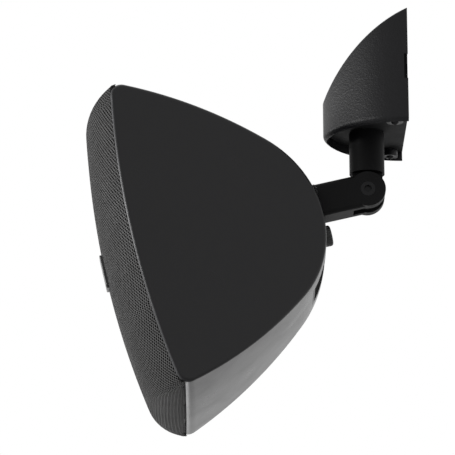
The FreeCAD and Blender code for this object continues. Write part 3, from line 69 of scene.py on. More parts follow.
class NodeTree:
    """A small helper that adds and links nodes in one tree."""

    def __init__(self, tree: bpy.types.NodeTree) -> None:
        """Keep the tree.

        Args:
            tree: The shader or geometry tree to fill.
        """
        self.tree = tree

    def add(self, kind: str, inputs: dict | None = None, **settings: object) -> bpy.types.Node:
        """Add a node, set its properties and fill its inputs.

        Args:
            kind: The node's type name.
            inputs: Input names or numbers, with a value or the socket that feeds them.
            **settings: Properties of the node.

        Returns:
            The new node.
        """
        node = self.tree.nodes.new(kind)
        for name, value in settings.items():
            setattr(node, name, value)
        for name, value in (inputs or {}).items():
            self.feed(node.inputs[name], value)
        return node

    def feed(self, socket: bpy.types.NodeSocket, value: object) -> None:
        """Link a socket into an input, or set the input's own value.

        Args:
            socket: The input.
            value: An output socket or a plain value.
        """
        if isinstance(value, bpy.types.NodeSocket):
            self.tree.links.new(value, socket)
        else:
            socket.default_value = value

    def math(self, operation: str, *values: object) -> bpy.types.NodeSocket:
        """Add a Math node.

        Args:
            operation: The Math node's operation.
            *values: Its inputs in order.

        Returns:
            The result.
        """
        return self.add("ShaderNodeMath", dict(enumerate(values)), operation=operation).outputs[0]

    def vector(self, operation: str, *values: object) -> bpy.types.Node:
        """Add a Vector Math node and return it.

        Args:
            operation: The Vector Math node's operation.
            *values: Its inputs in order.

        Returns:
            The node, because operations differ in their output.
        """
        return self.add("ShaderNodeVectorMath", dict(enumerate(values)), operation=operation)

    def scaled(self, vector: bpy.types.NodeSocket, factor: bpy.types.NodeSocket) -> bpy.types.NodeSocket:
        """A vector or colour times a factor."""
        return self.add("ShaderNodeVectorMath", {0: vector, "Scale": factor}, operation="SCALE").outputs[0]

    def group(self, tree: bpy.types.NodeTree, output: str, **inputs: object) -> bpy.types.NodeSocket:
        """Place a shared group with its own values and return one of its outputs."""
        return self.add("ShaderNodeGroup", inputs, node_tree=tree).outputs[output]

    def place(self) -> bpy.types.NodeSocket:
        """The place on a piece, for a shader."""
        return self.add("ShaderNodeTexCoord").outputs["Object"]

    def position(self) -> bpy.types.NodeSocket:
        """The place of a point, for geometry."""
        return self.add("GeometryNodeInputPosition").outputs[0]

    def split(self, vector: bpy.types.NodeSocket) -> bpy.types.NodeOutputs:
        """The three parts of a vector, as X, Y and Z."""
        return self.add("ShaderNodeSeparateXYZ", {0: vector}).outputs

    def joined(self, **parts: object) -> bpy.types.NodeSocket:
        """A vector from its parts X, Y and Z."""
        return self.add("ShaderNodeCombineXYZ", parts).outputs[0]

    def stored(self, name: str, kind: str = "FLOAT") -> bpy.types.NodeSocket:
        """A stored attribute, read by its name."""
        return self.add("GeometryNodeInputNamedAttribute", {"Name": name}, data_type=kind).outputs[0]

    def any_of(self, *masks: bpy.types.NodeSocket) -> bpy.types.NodeSocket:
        """The sum of masks, which is true where one of them is."""
        return reduce(lambda one, other: self.math("ADD", one, other), masks)

    def merged(self, *parts: bpy.types.NodeSocket) -> bpy.types.NodeSocket:
        """Several geometries as one.

        Args:
            *parts: The geometries.

        Returns:
            The whole.
        """
        whole = self.add("GeometryNodeJoinGeometry")
        for part in parts:
            self.tree.links.new(part, whole.inputs[0])
        return whole.outputs[0]

    def finished(self, shape: bpy.types.NodeSocket, material: bpy.types.Material) -> bpy.types.NodeSocket:
        """Realize a geometry's instances and give it its material."""
        real = self.add("GeometryNodeRealizeInstances", {0: shape}).outputs[0]
        return self.add("GeometryNodeSetMaterial", {"Geometry": real, "Material": material}).outputs[0]

    def shown(self) -> bpy.types.NodeSocket:
        """One for what the camera sees, also in metal and through glass, and nought for plain light.

        Returns:
            The mask.
        """
        rays = self.add("ShaderNodeLightPath").outputs
        bent = self.math("MAXIMUM", rays["Is Glossy Ray"], rays["Is Transmission Ray"])
        return self.math("MAXIMUM", rays["Is Camera Ray"], bent)


def group_tree(name: str, inputs: dict[str, tuple[str, object]], outputs: dict[str, str],
               kind: str = "ShaderNodeTree") -> tuple[NodeTree, bpy.types.Node, bpy.types.Node]:
    """Make a node group with named sockets.

    Args:
        name: The group's name.
        inputs: Socket type and default for each input.
        outputs: Socket type for each output.
        kind: The type of tree.

    Returns:
        The tree, its input node and its output node.
    """
    tree = bpy.data.node_groups.new(name, kind)
    for label, (socket, default) in inputs.items():
        made = tree.interface.new_socket(label, in_out="INPUT", socket_type=socket)
        if default is not None:
            made.default_value = default
    for label, socket in outputs.items():
        tree.interface.new_socket(label, in_out="OUTPUT", socket_type=socket)
    nodes = NodeTree(tree)
    return nodes, nodes.add("NodeGroupInput"), nodes.add("NodeGroupOutput")


class SurfaceEffects:
    """Shader groups that several finishes share."""

    def __init__(self) -> None:
        """Build every group once."""
        self.mottle = self._mottle()
        self.grain = self._grain()
        self.handling = self._handling()
        self.weave = self._weave()
        self.rings = self._rings()

    @staticmethod
    def _mottle() -> bpy.types.NodeTree:
        """Slow change of a colour over the surface.

        Returns:
            The group: Colour, Amount and Scale in, Colour out.
        """
        nodes, source, sink = group_tree(
            "colour_mottle",
            {"Colour": ("NodeSocketColor", (0.5, 0.5, 0.5, 1)), "Amount": ("NodeSocketFloat", 0.1),
             "Scale": ("NodeSocketFloat", 20.0)},
            {"Colour": "NodeSocketColor"})
        cloud = nodes.add("ShaderNodeTexNoise", {"Vector": nodes.place(), "Scale": source.outputs["Scale"],
                                                 "Detail": 4.0, "Roughness": 0.6})
        swing = nodes.math("MULTIPLY_ADD", cloud.outputs[0], 2.0, -1.0)
        gain = nodes.math("MULTIPLY_ADD", swing, source.outputs["Amount"], 1.0)
        nodes.feed(sink.inputs["Colour"], nodes.scaled(source.outputs["Colour"], gain))
        return nodes.tree

    @staticmethod
    def _grain() -> bpy.types.NodeTree:
        """The fine spark-eroded or powdered grain of a coated surface.

        Returns:
            The group: Scale in, Height out.
        """
        nodes, source, sink = group_tree("fine_grain", {"Scale": ("NodeSocketFloat", 900.0)},
                                         {"Height": "NodeSocketFloat"})
        place = nodes.place()
        slow = nodes.math("MULTIPLY", source.outputs["Scale"], 0.3)
        coarse = nodes.add("ShaderNodeTexNoise", {"Vector": place, "Scale": slow, "Detail": 3.0})
        cells = nodes.add("ShaderNodeTexVoronoi", {"Vector": place, "Scale": source.outputs["Scale"]},
                          feature="SMOOTH_F1")
        nodes.feed(sink.inputs["Height"], nodes.math("ADD", coarse.outputs[0], cells.outputs["Distance"]))
        return nodes.tree

    @staticmethod
    def _handling() -> bpy.types.NodeTree:
        """Roughness that shifts where a surface was wiped and handled.

        Returns:
            The group: Low, High and Scale in, Roughness out.
        """
        nodes, source, sink = group_tree(
            "handling_marks",
            {"Low": ("NodeSocketFloat", 0.3), "High": ("NodeSocketFloat", 0.5),
             "Scale": ("NodeSocketFloat", 30.0)},
            {"Roughness": "NodeSocketFloat"})
        smear = nodes.add("ShaderNodeTexNoise", {"Vector": nodes.place(), "Scale": source.outputs["Scale"],
                                                 "Detail": 5.0, "Distortion": 0.6})
        range_map = nodes.add("ShaderNodeMapRange", {"Value": smear.outputs[0], "From Min": 0.3,
                                                     "From Max": 0.7, "To Min": source.outputs["Low"],
                                                     "To Max": source.outputs["High"]})
        nodes.feed(sink.inputs["Roughness"], range_map.outputs["Result"])
        return nodes.tree

    @staticmethod
    def _weave() -> bpy.types.NodeTree:
        """Warp and weft threads crossing over and under.

        Returns:
            The group: Pitch in, Height out.
        """
        nodes, source, sink = group_tree("plain_weave", {"Pitch": ("NodeSocketFloat", 0.6 * MM)},
                                         {"Height": "NodeSocketFloat"})
        place = nodes.split(nodes.place())
        turns = nodes.math("DIVIDE", 2 * math.pi, source.outputs["Pitch"])
        warp = nodes.math("SINE", nodes.math("MULTIPLY", place["X"], turns))
        weft = nodes.math("SINE", nodes.math("MULTIPLY", place["Z"], turns))
        over = nodes.math("MULTIPLY", warp, weft)
        nodes.feed(sink.inputs["Height"], nodes.math("MULTIPLY_ADD", over, 0.5, 0.5))
        return nodes.tree

    @staticmethod
    def _rings() -> bpy.types.NodeTree:
        """Close parallel ridges, as on turned metal or wound wire.

        Returns:
            The group: Pitch and Axis in, Height out.
        """
        nodes, source, sink = group_tree(
            "close_ridges",
            {"Pitch": ("NodeSocketFloat", 0.5 * MM), "Axis": ("NodeSocketVector", (0.0, 1.0, 0.0))},
            {"Height": "NodeSocketFloat"})
        along = nodes.vector("DOT_PRODUCT", nodes.place(), source.outputs["Axis"]).outputs["Value"]
        turns = nodes.math("DIVIDE", 2 * math.pi, source.outputs["Pitch"])
        nodes.feed(sink.inputs["Height"], nodes.math("SINE", nodes.math("MULTIPLY", along, turns)))
        return nodes.tree


@dataclass(frozen=True)
class Finish:
    """A surface with its colour, gloss and fine relief.

    Attributes:
        name: The material's name.
        colour: Linear base colour.
        gloss: Lowest and highest roughness.
        metallic: How far it is bare metal.
        ior: Index of refraction, which sets the plain reflection.
        mottle: Depth and scale of the colour's change.
        grain: Scale and bump distance of the grain.
    """

    name: str
    colour: Colour
    gloss: tuple[float, float] = (0.4, 0.5)
    metallic: float = 0.0
    ior: float = 1.45
    mottle: tuple[float, float] = (0.08, 40.0)
    grain: tuple[float, float] = (1500.0, 0.00004)

    def build(self, effects: SurfaceEffects) -> bpy.types.Material:
        """Make the material.

        Args:
            effects: The shared shader groups.

        Returns:
            The finished material.
        """
        material = bpy.data.materials.new(self.name)
        material.use_nodes = True
        nodes = NodeTree(material.node_tree)
        shader = material.node_tree.nodes["Principled BSDF"]
        shader.inputs["Metallic"].default_value = self.metallic
        shader.inputs["IOR"].default_value = self.ior
        nodes.feed(shader.inputs["Base Color"], self.paint(nodes, effects))
        low, high = self.gloss
        nodes.feed(shader.inputs["Roughness"], nodes.group(effects.handling, "Roughness", Low=low, High=high))
        bump = nodes.add("ShaderNodeBump", {"Height": self.relief(nodes, effects), "Strength": 1.0,
                                            "Distance": self.grain[1]})
        nodes.feed(shader.inputs["Normal"], bump.outputs["Normal"])
        return material

    def paint(self, nodes: NodeTree, effects: SurfaceEffects) -> bpy.types.NodeSocket:
        """The mottled base colour."""
        amount, scale = self.mottle
        return nodes.group(effects.mottle, "Colour", Colour=(*self.colour, 1), Amount=amount, Scale=scale)

    def relief(self, nodes: NodeTree, effects: SurfaceEffects) -> bpy.types.NodeSocket:
        """The height that the bump reads."""
        return nodes.group(effects.grain, "Height", Scale=self.grain[0])


@dataclass(frozen=True)
class HighlightedEdgeFinish(Finish):
    """A moulded surface with a painted highlight along its side edges, where they face one way.

    Attributes:
        highlight_colour: Linear colour of the painted highlight on the edge.
        facing: Direction that the edge with the painted highlight faces.
        turned: Share of that direction in the normal, from plain to fully highlighted.
        outside: Distance from the middle, across, from plain to fully highlighted.
    """

    highlight_colour: Colour = (0.05, 0.05, 0.05)
    facing: Point = (0.0, -1.0, 0.0)
    turned: tuple[float, float] = (0.15, 0.6)
    outside: tuple[float, float] = (88.0 * MM, 98.0 * MM)

    def paint(self, nodes: NodeTree, effects: SurfaceEffects) -> bpy.types.NodeSocket:
        """The base colour with the painted highlight on its edge.

        Args:
            nodes: The material's nodes.
            effects: The shared shader groups.

        Returns:
            A colour socket.
        """
        normal = nodes.add("ShaderNodeTexCoord").outputs["Normal"]
        faces = nodes.vector("DOT_PRODUCT", normal, self.facing).outputs["Value"]
        across = nodes.math("ABSOLUTE", nodes.split(nodes.place())["X"])
        # Painted highlight: a paler colour is mixed in where the normal faces one way near the side edges, in
        # place of light on the edge's bevel.
        masks = [nodes.add("ShaderNodeMapRange", {"Value": value, "From Min": low, "From Max": high})
                 for value, (low, high) in ((faces, self.turned), (across, self.outside))]
        share = nodes.math("MULTIPLY", *(mask.outputs["Result"] for mask in masks))
        blend = nodes.add("ShaderNodeMixRGB", {"Fac": share, "Color1": super().paint(nodes, effects),
                                               "Color2": (*self.highlight_colour, 1)})
        return blend.outputs["Color"]


@dataclass(frozen=True)
class WovenFinish(Finish):
    """A cloth of crossing threads.

    Attributes:
        pitch: Distance from thread to thread.
    """

    pitch: float = 0.6 * MM

    def relief(self, nodes: NodeTree, effects: SurfaceEffects) -> bpy.types.NodeSocket:
        """The weave's own height."""
        return nodes.group(effects.weave, "Height", Pitch=self.pitch)


@dataclass(frozen=True)
class RidgedFinish(Finish):
    """A turned or wound surface with close ridges.

    Attributes:
        pitch: Distance from ridge to ridge.
        axis: Direction across the ridges.
    """

    pitch: float = 0.5 * MM
    axis: Point = (0.0, 1.0, 0.0)

    def relief(self, nodes: NodeTree, effects: SurfaceEffects) -> bpy.types.NodeSocket:
        """The ridges' height."""
        return nodes.group(effects.rings, "Height", Pitch=self.pitch, Axis=self.axis)


BACK_AXIS = tuple(next(j["axis"] for j in frame["joints"] if j["name"] == "cone_travel"))
# The cabinet's finish paints a highlight on its side edges where they face the front.
CABINET = HighlightedEdgeFinish("cabinet_plastic", (0.0026, 0.0024, 0.0032), (0.27, 0.32), ior=1.35,
                      mottle=(0.35, 90.0), grain=(1100.0, 0.00003), highlight_colour=(0.06, 0.06, 0.062),
                      facing=tuple(-part for part in BACK_AXIS))
COVER = Finish("cover_plastic", (0.0036, 0.0036, 0.0044), (0.36, 0.42), ior=1.29,
               mottle=(0.4, 200.0), grain=(700.0, 0.00016))
GRILLE = Finish("grille_paint", (0.033, 0.0324, 0.032), (0.58, 0.66), ior=1.36, grain=(2600.0, 0.00001))
LINE = Finish("line_paint", (0.55, 0.55, 0.53), (0.5, 0.6), mottle=(0.1, 400.0), grain=(2500.0, 0.00001))
RUBBER = Finish("rubber", (0.008, 0.008, 0.008), (0.55, 0.7), ior=1.42, grain=(2500.0, 0.00002))
PLATED = Finish("plated_steel", (0.42, 0.42, 0.43), (0.3, 0.42), metallic=1.0, grain=(3000.0, 0.00001))
FINISHES: dict[str, Finish] = {
    "bracket_casting": Finish("bracket_coat", (0.004, 0.004, 0.0044), (0.7, 0.8), ior=1.25,
                              grain=(900.0, 0.00008)),
    "bush": RidgedFinish("turned_bush", (0.5, 0.36, 0.15), (0.25, 0.38), metallic=1.0,
                         grain=(0.0, 0.00001), pitch=0.4 * MM, axis=(0.0, 0.0, 1.0)),
    "cover_plastic": COVER,
    "screws": Finish("blackened_steel", (0.012, 0.012, 0.0125), (0.42, 0.52), metallic=0.6, ior=1.3,
                     grain=(3000.0, 0.00001)),
    "post_steel": Finish("post_paint", (0.0022, 0.0022, 0.0024), (0.5, 0.6), ior=1.18,
                         grain=(1400.0, 0.00004)),
    "washers": Finish("washer_nylon", (0.004, 0.004, 0.004), (0.55, 0.65), ior=1.2),
    "nuts": Finish("blackened_nut", (0.02, 0.02, 0.021), (0.4, 0.5), metallic=0.7, ior=1.3,
                   grain=(3000.0, 0.00001)),
    "arm_casting": Finish("arm_coat", (0.0028, 0.0028, 0.003), (0.5, 0.6), ior=1.2,
                          grain=(1000.0, 0.00007)),
    "cabinet_plastic": CABINET,
    "baffle_board": Finish("baffle_black", (0.006, 0.006, 0.006), (0.55, 0.65)),
    "foam": Finish("seal_foam", (0.006, 0.006, 0.006), (0.85, 0.95), grain=(1200.0, 0.0002)),
    "grille_metal": GRILLE,
    "cloth": WovenFinish("acoustic_cloth", (0.003, 0.003, 0.003), (0.9, 1.0), ior=1.2,
                         grain=(0.0, 0.0001)),
    "badge": Finish("plain_plate", (0.012, 0.012, 0.012), (0.3, 0.36), grain=(2600.0, 0.00001)),
    "basket": Finish("basket_paint", (0.01, 0.01, 0.01), (0.4, 0.5), grain=(1400.0, 0.00003)),
    "surround": RUBBER,
    "cone": RidgedFinish("cone_sheet", (0.012, 0.012, 0.012), (0.5, 0.6), grain=(0.0, 0.00002),
                         pitch=1.2 * MM, axis=(1.0, 0.0, 0.0)),
    "spider": WovenFinish("spider_cloth", (0.3, 0.2, 0.07), (0.8, 0.9), grain=(0.0, 0.00008)),
    "coil": RidgedFinish("wound_wire", (0.55, 0.2, 0.08), (0.25, 0.35), metallic=1.0,
                         grain=(0.0, 0.0002), pitch=0.7 * MM, axis=BACK_AXIS),
    "iron": PLATED,
    "magnet": Finish("ferrite", (0.02, 0.02, 0.021), (0.55, 0.7), grain=(900.0, 0.00008)),
    "tweeter_plastic": Finish("tweeter_moulding", (0.007, 0.007, 0.007), (0.4, 0.5)),
    "dome": WovenFinish("dome_cloth", (0.01, 0.01, 0.01), (0.6, 0.7), grain=(0.0, 0.00003), pitch=0.3 * MM),
    "port_plastic": Finish("port_moulding", (0.006, 0.006, 0.006), (0.4, 0.5)),
    "knob_plastic": Finish("knob_moulding", (0.006, 0.006, 0.006), (0.35, 0.45), grain=(2000.0, 0.00002)),
    "control": Finish("control_can", (0.4, 0.4, 0.4), (0.35, 0.45), metallic=1.0),
    "cup_plastic": Finish("cup_moulding", (0.007, 0.007, 0.007), (0.4, 0.5), grain=(1400.0, 0.00003)),
    "post_brass": RidgedFinish("gilt_brass", (0.62, 0.42, 0.14), (0.2, 0.3), metallic=1.0,
                               grain=(0.0, 0.00006), pitch=0.5 * MM, axis=BACK_AXIS),
    "nut_red": Finish("red_moulding", (0.32, 0.012, 0.01), (0.25, 0.32), grain=(2500.0, 0.00001)),
    "nut_black": Finish("black_moulding", (0.006, 0.006, 0.006), (0.25, 0.32), grain=(2500.0, 0.00001)),
    "board": Finish("board_laminate", (0.05, 0.09, 0.03), (0.35, 0.45), mottle=(0.25, 300.0)),
    "capacitor": Finish("capacitor_sleeve", (0.04, 0.03, 0.16), (0.2, 0.28), grain=(2000.0, 0.00001)),
    "resistor": Finish("resistor_ceramic", (0.6, 0.56, 0.48), (0.6, 0.75), grain=(1500.0, 0.00006)),
}


class Materials:
    """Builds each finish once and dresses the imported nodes."""

    def __init__(self) -> None:
        """Make the shared shader groups."""
        self.effects = SurfaceEffects()
        self.made: dict[str, bpy.types.Material] = {}

    def get(self, finish: Finish) -> bpy.types.Material:
        """The material of a finish.

        Args:
            finish: The finish.

        Returns:
            The material, built on the first call.
        """
        if finish.name not in self.made:
            self.made[finish.name] = finish.build(self.effects)
        return self.made[finish.name]

    def dress(self, *names: str) -> None:
        """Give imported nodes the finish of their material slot.

        Args:
            *names: The nodes.
        """
        slots = {row["node"]: row["material_slot"] for row in frame["record"]["subparts"]}
        for name in names:
            node = frame["nodes"][name]
            node.data.materials.clear()
            node.data.materials.append(self.get(FINISHES[slots[name]]))
            LOG.info("%s: dressed as %s", name, slots[name])


@dataclass
class SpeakerFrame:
    """The tilted frame of the cabinet: x across, s towards the back, v up the front.

    Attributes:
        pivot_depth: Front corners to the knuckle pin.
        pivot_rise: Knuckle pin above the middle of the front.
    """

    pivot_depth: float = 207.5 * MM
    pivot_rise: float = 19.8 * MM
    matrix: Matrix = field(init=False)

    def __post_init__(self) -> None:
        """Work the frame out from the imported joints."""
        across = Vector((1, 0, 0))
        back = Vector(BACK_AXIS).normalized()
        up = across.cross(back)
        turn = Matrix((across, back, up)).transposed()
        pivot = Vector(next(j["pos_m"] for j in frame["joints"] if j["name"] == "tilt"))
        origin = pivot - turn @ Vector((0, self.pivot_depth, self.pivot_rise))
        self.matrix = Matrix.Translation(origin) @ turn.to_4x4()

    def point(self, x: float, s: float, v: float) -> Vector:
        """A point of the cabinet in the shared frame.

        Args:
            x: Across.
            s: Towards the back.
            v: Up the front.

        Returns:
            The place in the shared frame.
        """
        return self.matrix @ Vector((x, s, v))


def new_object(name: str, mesh: bpy.types.Mesh) -> bpy.types.Object:
    """Put a mesh into the scene.

    Args:
        name: The piece's name.
        mesh: Its mesh, already in place.

    Returns:
        The new object.
    """
    piece = bpy.data.objects.new(name, mesh)
    bpy.context.scene.collection.objects.link(piece)
    return piece


def mesh_from(name: str, points: Sequence[Vector], faces: Sequence[Sequence[int]],
              smooth: bool = True) -> bpy.types.Mesh:
    """A mesh from points and faces.

    Args:
        name: The mesh's name.
        points: Vertex places.
        faces: Vertex numbers of each face.
        smooth: Whether faces are shaded smooth.

    Returns:
        The mesh.
    """
    mesh = bpy.data.meshes.new(name)
    mesh.from_pydata([tuple(p) for p in points], [], faces)
    for polygon in mesh.polygons:
        polygon.use_smooth = smooth
    return mesh


def mesh_of(name: str, shape: bmesh.types.BMesh, material: bpy.types.Material) -> bpy.types.Mesh:
    """A mesh with one finish from a shape, which is then freed.

    Args:
        name: The mesh's name.
        shape: The shape.
        material: Its finish.

    Returns:
        The mesh.
    """
    mesh = bpy.data.meshes.new(name)
    shape.to_mesh(mesh)
    shape.free()
    mesh.materials.append(material)
    return mesh


def grown(name: str, mesh: bpy.types.Mesh, tree: bpy.types.NodeTree,
          values: dict[str, object]) -> bpy.types.Mesh:
    """Run a geometry tree on a mesh and keep the result as a plain mesh.

    Args:
        name: Name of the result.
        mesh: The mesh that the tree starts from.
        tree: The geometry node group.
        values: Inputs by name.

    Returns:
        The realized mesh.
    """
    raw = new_object(f"{name}_raw", mesh)
    modifier = raw.modifiers.new("grow", "NODES")
    modifier.node_group = tree
    sockets = {item.name: item.identifier for item in tree.interface.items_tree if item.in_out == "INPUT"}
    for label, value in values.items():
        modifier[sockets[label]] = value
    evaluated = raw.evaluated_get(bpy.context.evaluated_depsgraph_get())
    result = bpy.data.meshes.new_from_object(evaluated)
    result.name = name
    bpy.data.objects.remove(raw)
    return result


@dataclass(frozen=True)
class Roll:
    """The rolled edge of a pressed sheet: an arc from the rim that ends level with the front.

    Attributes:
        radius: Radius of the arc.
        angle: Angle at the rim.
    """

    radius: float
    angle: float

    @property
    def span(self) -> float:
        """Width of the roll in the front view."""
        return self.radius * math.sin(self.angle)

    def length(self, wall: float) -> float:
        """Length of the sheet from the rim to the middle, for a rim that far from the middle."""
        return self.radius * self.angle + wall - self.span

    def inset(self, along: float) -> float:
        """Distance from the rim in the front view, for a length along the sheet.

        Args:
            along: Length along the sheet, from the rim.

        Returns:
            The distance.
        """
        turn = self.angle - min(along / self.radius, self.angle)
        beyond = max(along - self.radius * self.angle, 0.0)
        return self.radius * (math.sin(self.angle) - math.sin(turn)) + beyond

    def share(self, inset: float) -> float:
        """Share of the full rise at a distance from the rim.

        Args:
            inset: Distance from the rim in the front view.

        Returns:
            The share, from nought at the rim to one.
        """
        left = max(self.span - inset, 0.0)
        low = math.cos(self.angle)
        return (math.sqrt(1 - (left / self.radius) ** 2) - low) / (1 - low)


@dataclass
class Grille:
    """The pressed sheet with staggered holes, its cloth and its bare plate.

    Attributes:
        space: The cabinet's frame.
        bow_radius: Upright bow of the rim.
        bow: Bow of the rim over the cabinet's height.
        bulge: Sheet beyond the bow of the rim.
        side_half: Side wall from the middle, at the front corners' depth.
        side_lean: Angle of the side walls.
        end_half: Top and bottom walls from the middle, at the front corners' depth.
        end_crown: Rise of the top and bottom walls at the middle.
        side_roll: Rolled edge at the sides.
        end_roll: Rolled edge at the top and bottom.
        blend: How sharply the rolls meet at the corners.
        floor: Depth of the seat that the sheet stands on.
        skirt: Sheet that reaches down behind the rim.
        pitch: Hole to hole along a row; rows stand half of it apart.
        open_share: Size of a hole as a share of its cell.
        hole_width: Further share of its width, which makes the hole round.
        sheet: Depth of the punched edge.
        weld: Points closer than this are one.
        hem: Plain edge behind the last holes.
        cloth_gap: Cloth behind the sheet.
        step: Mesh size of the unpunched form.
        bands: Pieces that the sheet is split into from bottom to top.
    """

    space: SpeakerFrame
    bow_radius: float = 778.0 * MM
    bow: float = 12.7 * MM
    bulge: float = 25.0 * MM
    side_half: float = 103.48 * MM
    side_lean: float = math.radians(22.0)
    end_half: float = 138.0 * MM
    end_crown: float = 3.05 * MM
    side_roll: Roll = Roll(180.0 * MM, 0.55)
    end_roll: Roll = Roll(18.0 * MM, 1.5)
    blend: float = 6.0
    floor: float = 4.4 * MM
    skirt: float = 19.0 * MM
    pitch: float = 4.03 * MM
    open_share: float = 0.87
    hole_width: float = 0.72
    sheet: float = 0.9 * MM
    weld: float = 0.02 * MM
    hem: float = 2.2 * MM
    cloth_gap: float = 1.8 * MM
    step: float = 2.0 * MM
    bands: int = 4

    def rim(self, v: float) -> float:
        """Depth of the bowed rim at a height."""
        return self.bow_radius - self.bow - math.sqrt(self.bow_radius ** 2 - v ** 2)

    def end_wall(self, x: float) -> float:
        """Top or bottom wall from the middle, at a place across."""
        return self.end_half + self.end_crown * (1 - min(abs(x) / self.side_half, 1.0) ** 2)

    def formed(self, a: float, b: float) -> Vector:
        """Press a point of the flat sheet into the form.

        Args:
            a: Place on the flat sheet, across.
            b: Place on the flat sheet, up.

        Returns:
            The place in the cabinet's frame.
        """
        end = self.end_wall(a)
        up = self.end_roll.length(end) - abs(b)
        low = self.end_roll.inset(max(up, 0.0))
        v = math.copysign(end - low, b)
        side = self.side_half - math.tan(self.side_lean) * self.rim(v)
        along = self.side_roll.length(side) - abs(a)
        near = self.side_roll.inset(max(along, 0.0))
        x = math.copysign(side - near, a)
        falls = (1 - self.side_roll.share(near)) ** self.blend + (1 - self.end_roll.share(low)) ** self.blend
        rise = self.bulge * (1 - falls ** (1 / self.blend))
        past = math.hypot(min(along, 0.0), min(up, 0.0))
        pull = math.tan(self.side_lean) * past
        x -= math.copysign(pull, a) if along < 0 else 0.0
        v -= math.copysign(pull, b) if up < 0 else 0.0
        return Vector((x, self.rim(v) - rise + past, v))

    def form_mesh(self) -> bpy.types.Mesh:
        """The unpunched form, with the flat sheet as its UV map.

        Returns:
            A mesh in the shared frame.
        """
        wide, tall = (size / 2 for size in self.flat_size())
        columns = round(2 * wide / self.step)
        rows = round(2 * tall / self.step)
        flats = [(wide * (2 * column / columns - 1), tall * (2 * row / rows - 1))
                 for row in range(rows + 1) for column in range(columns + 1)]
        places = [self.formed(a, b) for a, b in flats]
        line = columns + 1
        faces = [(r * line + c, r * line + c + 1, (r + 1) * line + c + 1, (r + 1) * line + c)
                 for r in range(rows) for c in range(columns)]
        mesh = mesh_from("grille_form", [self.space.matrix @ place for place in places], faces)
        layer = mesh.uv_layers.new(name="flat_sheet")
        for loop in mesh.loops:
            a, b = flats[loop.vertex_index]
            layer.data[loop.index].uv = (a / (2 * wide) + 0.5, b / (2 * tall) + 0.5)
        depth = mesh.attributes.new("depth", "FLOAT", "POINT")
        depth.data.foreach_set("value", [place.y for place in places])
        level = mesh.attributes.new("level", "FLOAT", "POINT")
        level.data.foreach_set("value", [b for _, b in flats])
        return mesh

    def flat_size(self) -> tuple[float, float]:
        """The flat sheet, with the skirt behind the rim.

        Returns:
            Its width and height.
        """
        side = self.side_half - math.tan(self.side_lean) * self.rim(0.0)
        halves = self.side_roll.length(side), self.end_roll.length(self.end_half + self.end_crown)
        return tuple(2 * (half + self.skirt) for half in halves)

    def tree(self, material: bpy.types.Material) -> bpy.types.NodeTree:
        """Geometry nodes that punch staggered holes in a flat sheet and fold it over the form.

        Args:
            material: The sheet's finish.

        Returns:
            The node group.
        """
        nodes, source, sink = group_tree(
            "punched_sheet",
            {"Form": ("NodeSocketGeometry", None), "Pitch": ("NodeSocketFloat", self.pitch),
             "Open share": ("NodeSocketFloat", self.open_share),
             "Hole width": ("NodeSocketFloat", self.hole_width), "Sheet": ("NodeSocketFloat", self.sheet),
             "Width": ("NodeSocketFloat", 0.25), "Height": ("NodeSocketFloat", 0.32),
             "Low": ("NodeSocketFloat", -1.0), "High": ("NodeSocketFloat", 1.0),
             "Deepest": ("NodeSocketFloat", self.floor)},
            {"Geometry": "NodeSocketGeometry"}, "GeometryNodeTree")
        size = source.outputs
        rise = nodes.math("MULTIPLY", size["Pitch"], 0.5)
        columns = nodes.math("FLOOR", nodes.math("DIVIDE", size["Width"], size["Pitch"]))
        rows = nodes.math("FLOOR", nodes.math("DIVIDE", size["Height"], rise))
        grid = nodes.add("GeometryNodeMeshGrid", {
            "Size X": nodes.math("MULTIPLY", columns, size["Pitch"]),
            "Size Y": nodes.math("MULTIPLY", rows, rise),
            "Vertices X": nodes.math("ADD", columns, 1.0), "Vertices Y": nodes.math("ADD", rows, 1.0)})
        row = nodes.math("ROUND", nodes.math("DIVIDE", nodes.split(nodes.position())["Y"], rise))
        odd = nodes.math("FLOORED_MODULO", row, 2.0)
        shift = nodes.joined(X=nodes.math("MULTIPLY", nodes.math("SUBTRACT", odd, 0.5), rise))
        staggered = nodes.add("GeometryNodeSetPosition", {"Geometry": grid.outputs["Mesh"], "Offset": shift})
        threes = nodes.add("GeometryNodeTriangulate", {0: staggered.outputs[0]},
                           quad_method="SHORTEST_DIAGONAL")
        cells = nodes.add("GeometryNodeDualMesh", {"Mesh": threes.outputs[0]})
        banded = self._keep_band(nodes, size, cells.outputs[0])
        rim = nodes.add("GeometryNodeExtrudeMesh", {"Mesh": banded, "Offset Scale": 0.0}, mode="FACES")
        hole = nodes.add("GeometryNodeScaleElements", {
            "Geometry": rim.outputs["Mesh"], "Selection": rim.outputs["Top"], "Scale": size["Open share"]})
        rounded = nodes.add("GeometryNodeScaleElements", {
            "Geometry": hole.outputs[0], "Selection": rim.outputs["Top"], "Scale": size["Hole width"],
            "Axis": (1.0, 0.0, 0.0)}, scale_mode="SINGLE_AXIS")
        wall = nodes.add("GeometryNodeExtrudeMesh", {
            "Mesh": rounded.outputs[0], "Selection": rim.outputs["Top"],
            "Offset Scale": nodes.math("MULTIPLY", size["Sheet"], -1.0)}, mode="FACES")
        punched = nodes.add("GeometryNodeDeleteGeometry", {
            "Geometry": wall.outputs["Mesh"], "Selection": wall.outputs["Top"]}, domain="FACE")
        folded = self._fold(nodes, size, punched.outputs[0])
        welded = nodes.add("GeometryNodeMergeByDistance", {"Geometry": folded, "Distance": self.weld})
        whole = nodes.merged(welded.outputs[0], self._hem(nodes, size))
        nodes.feed(sink.inputs[0], nodes.finished(whole, material))
        return nodes.tree

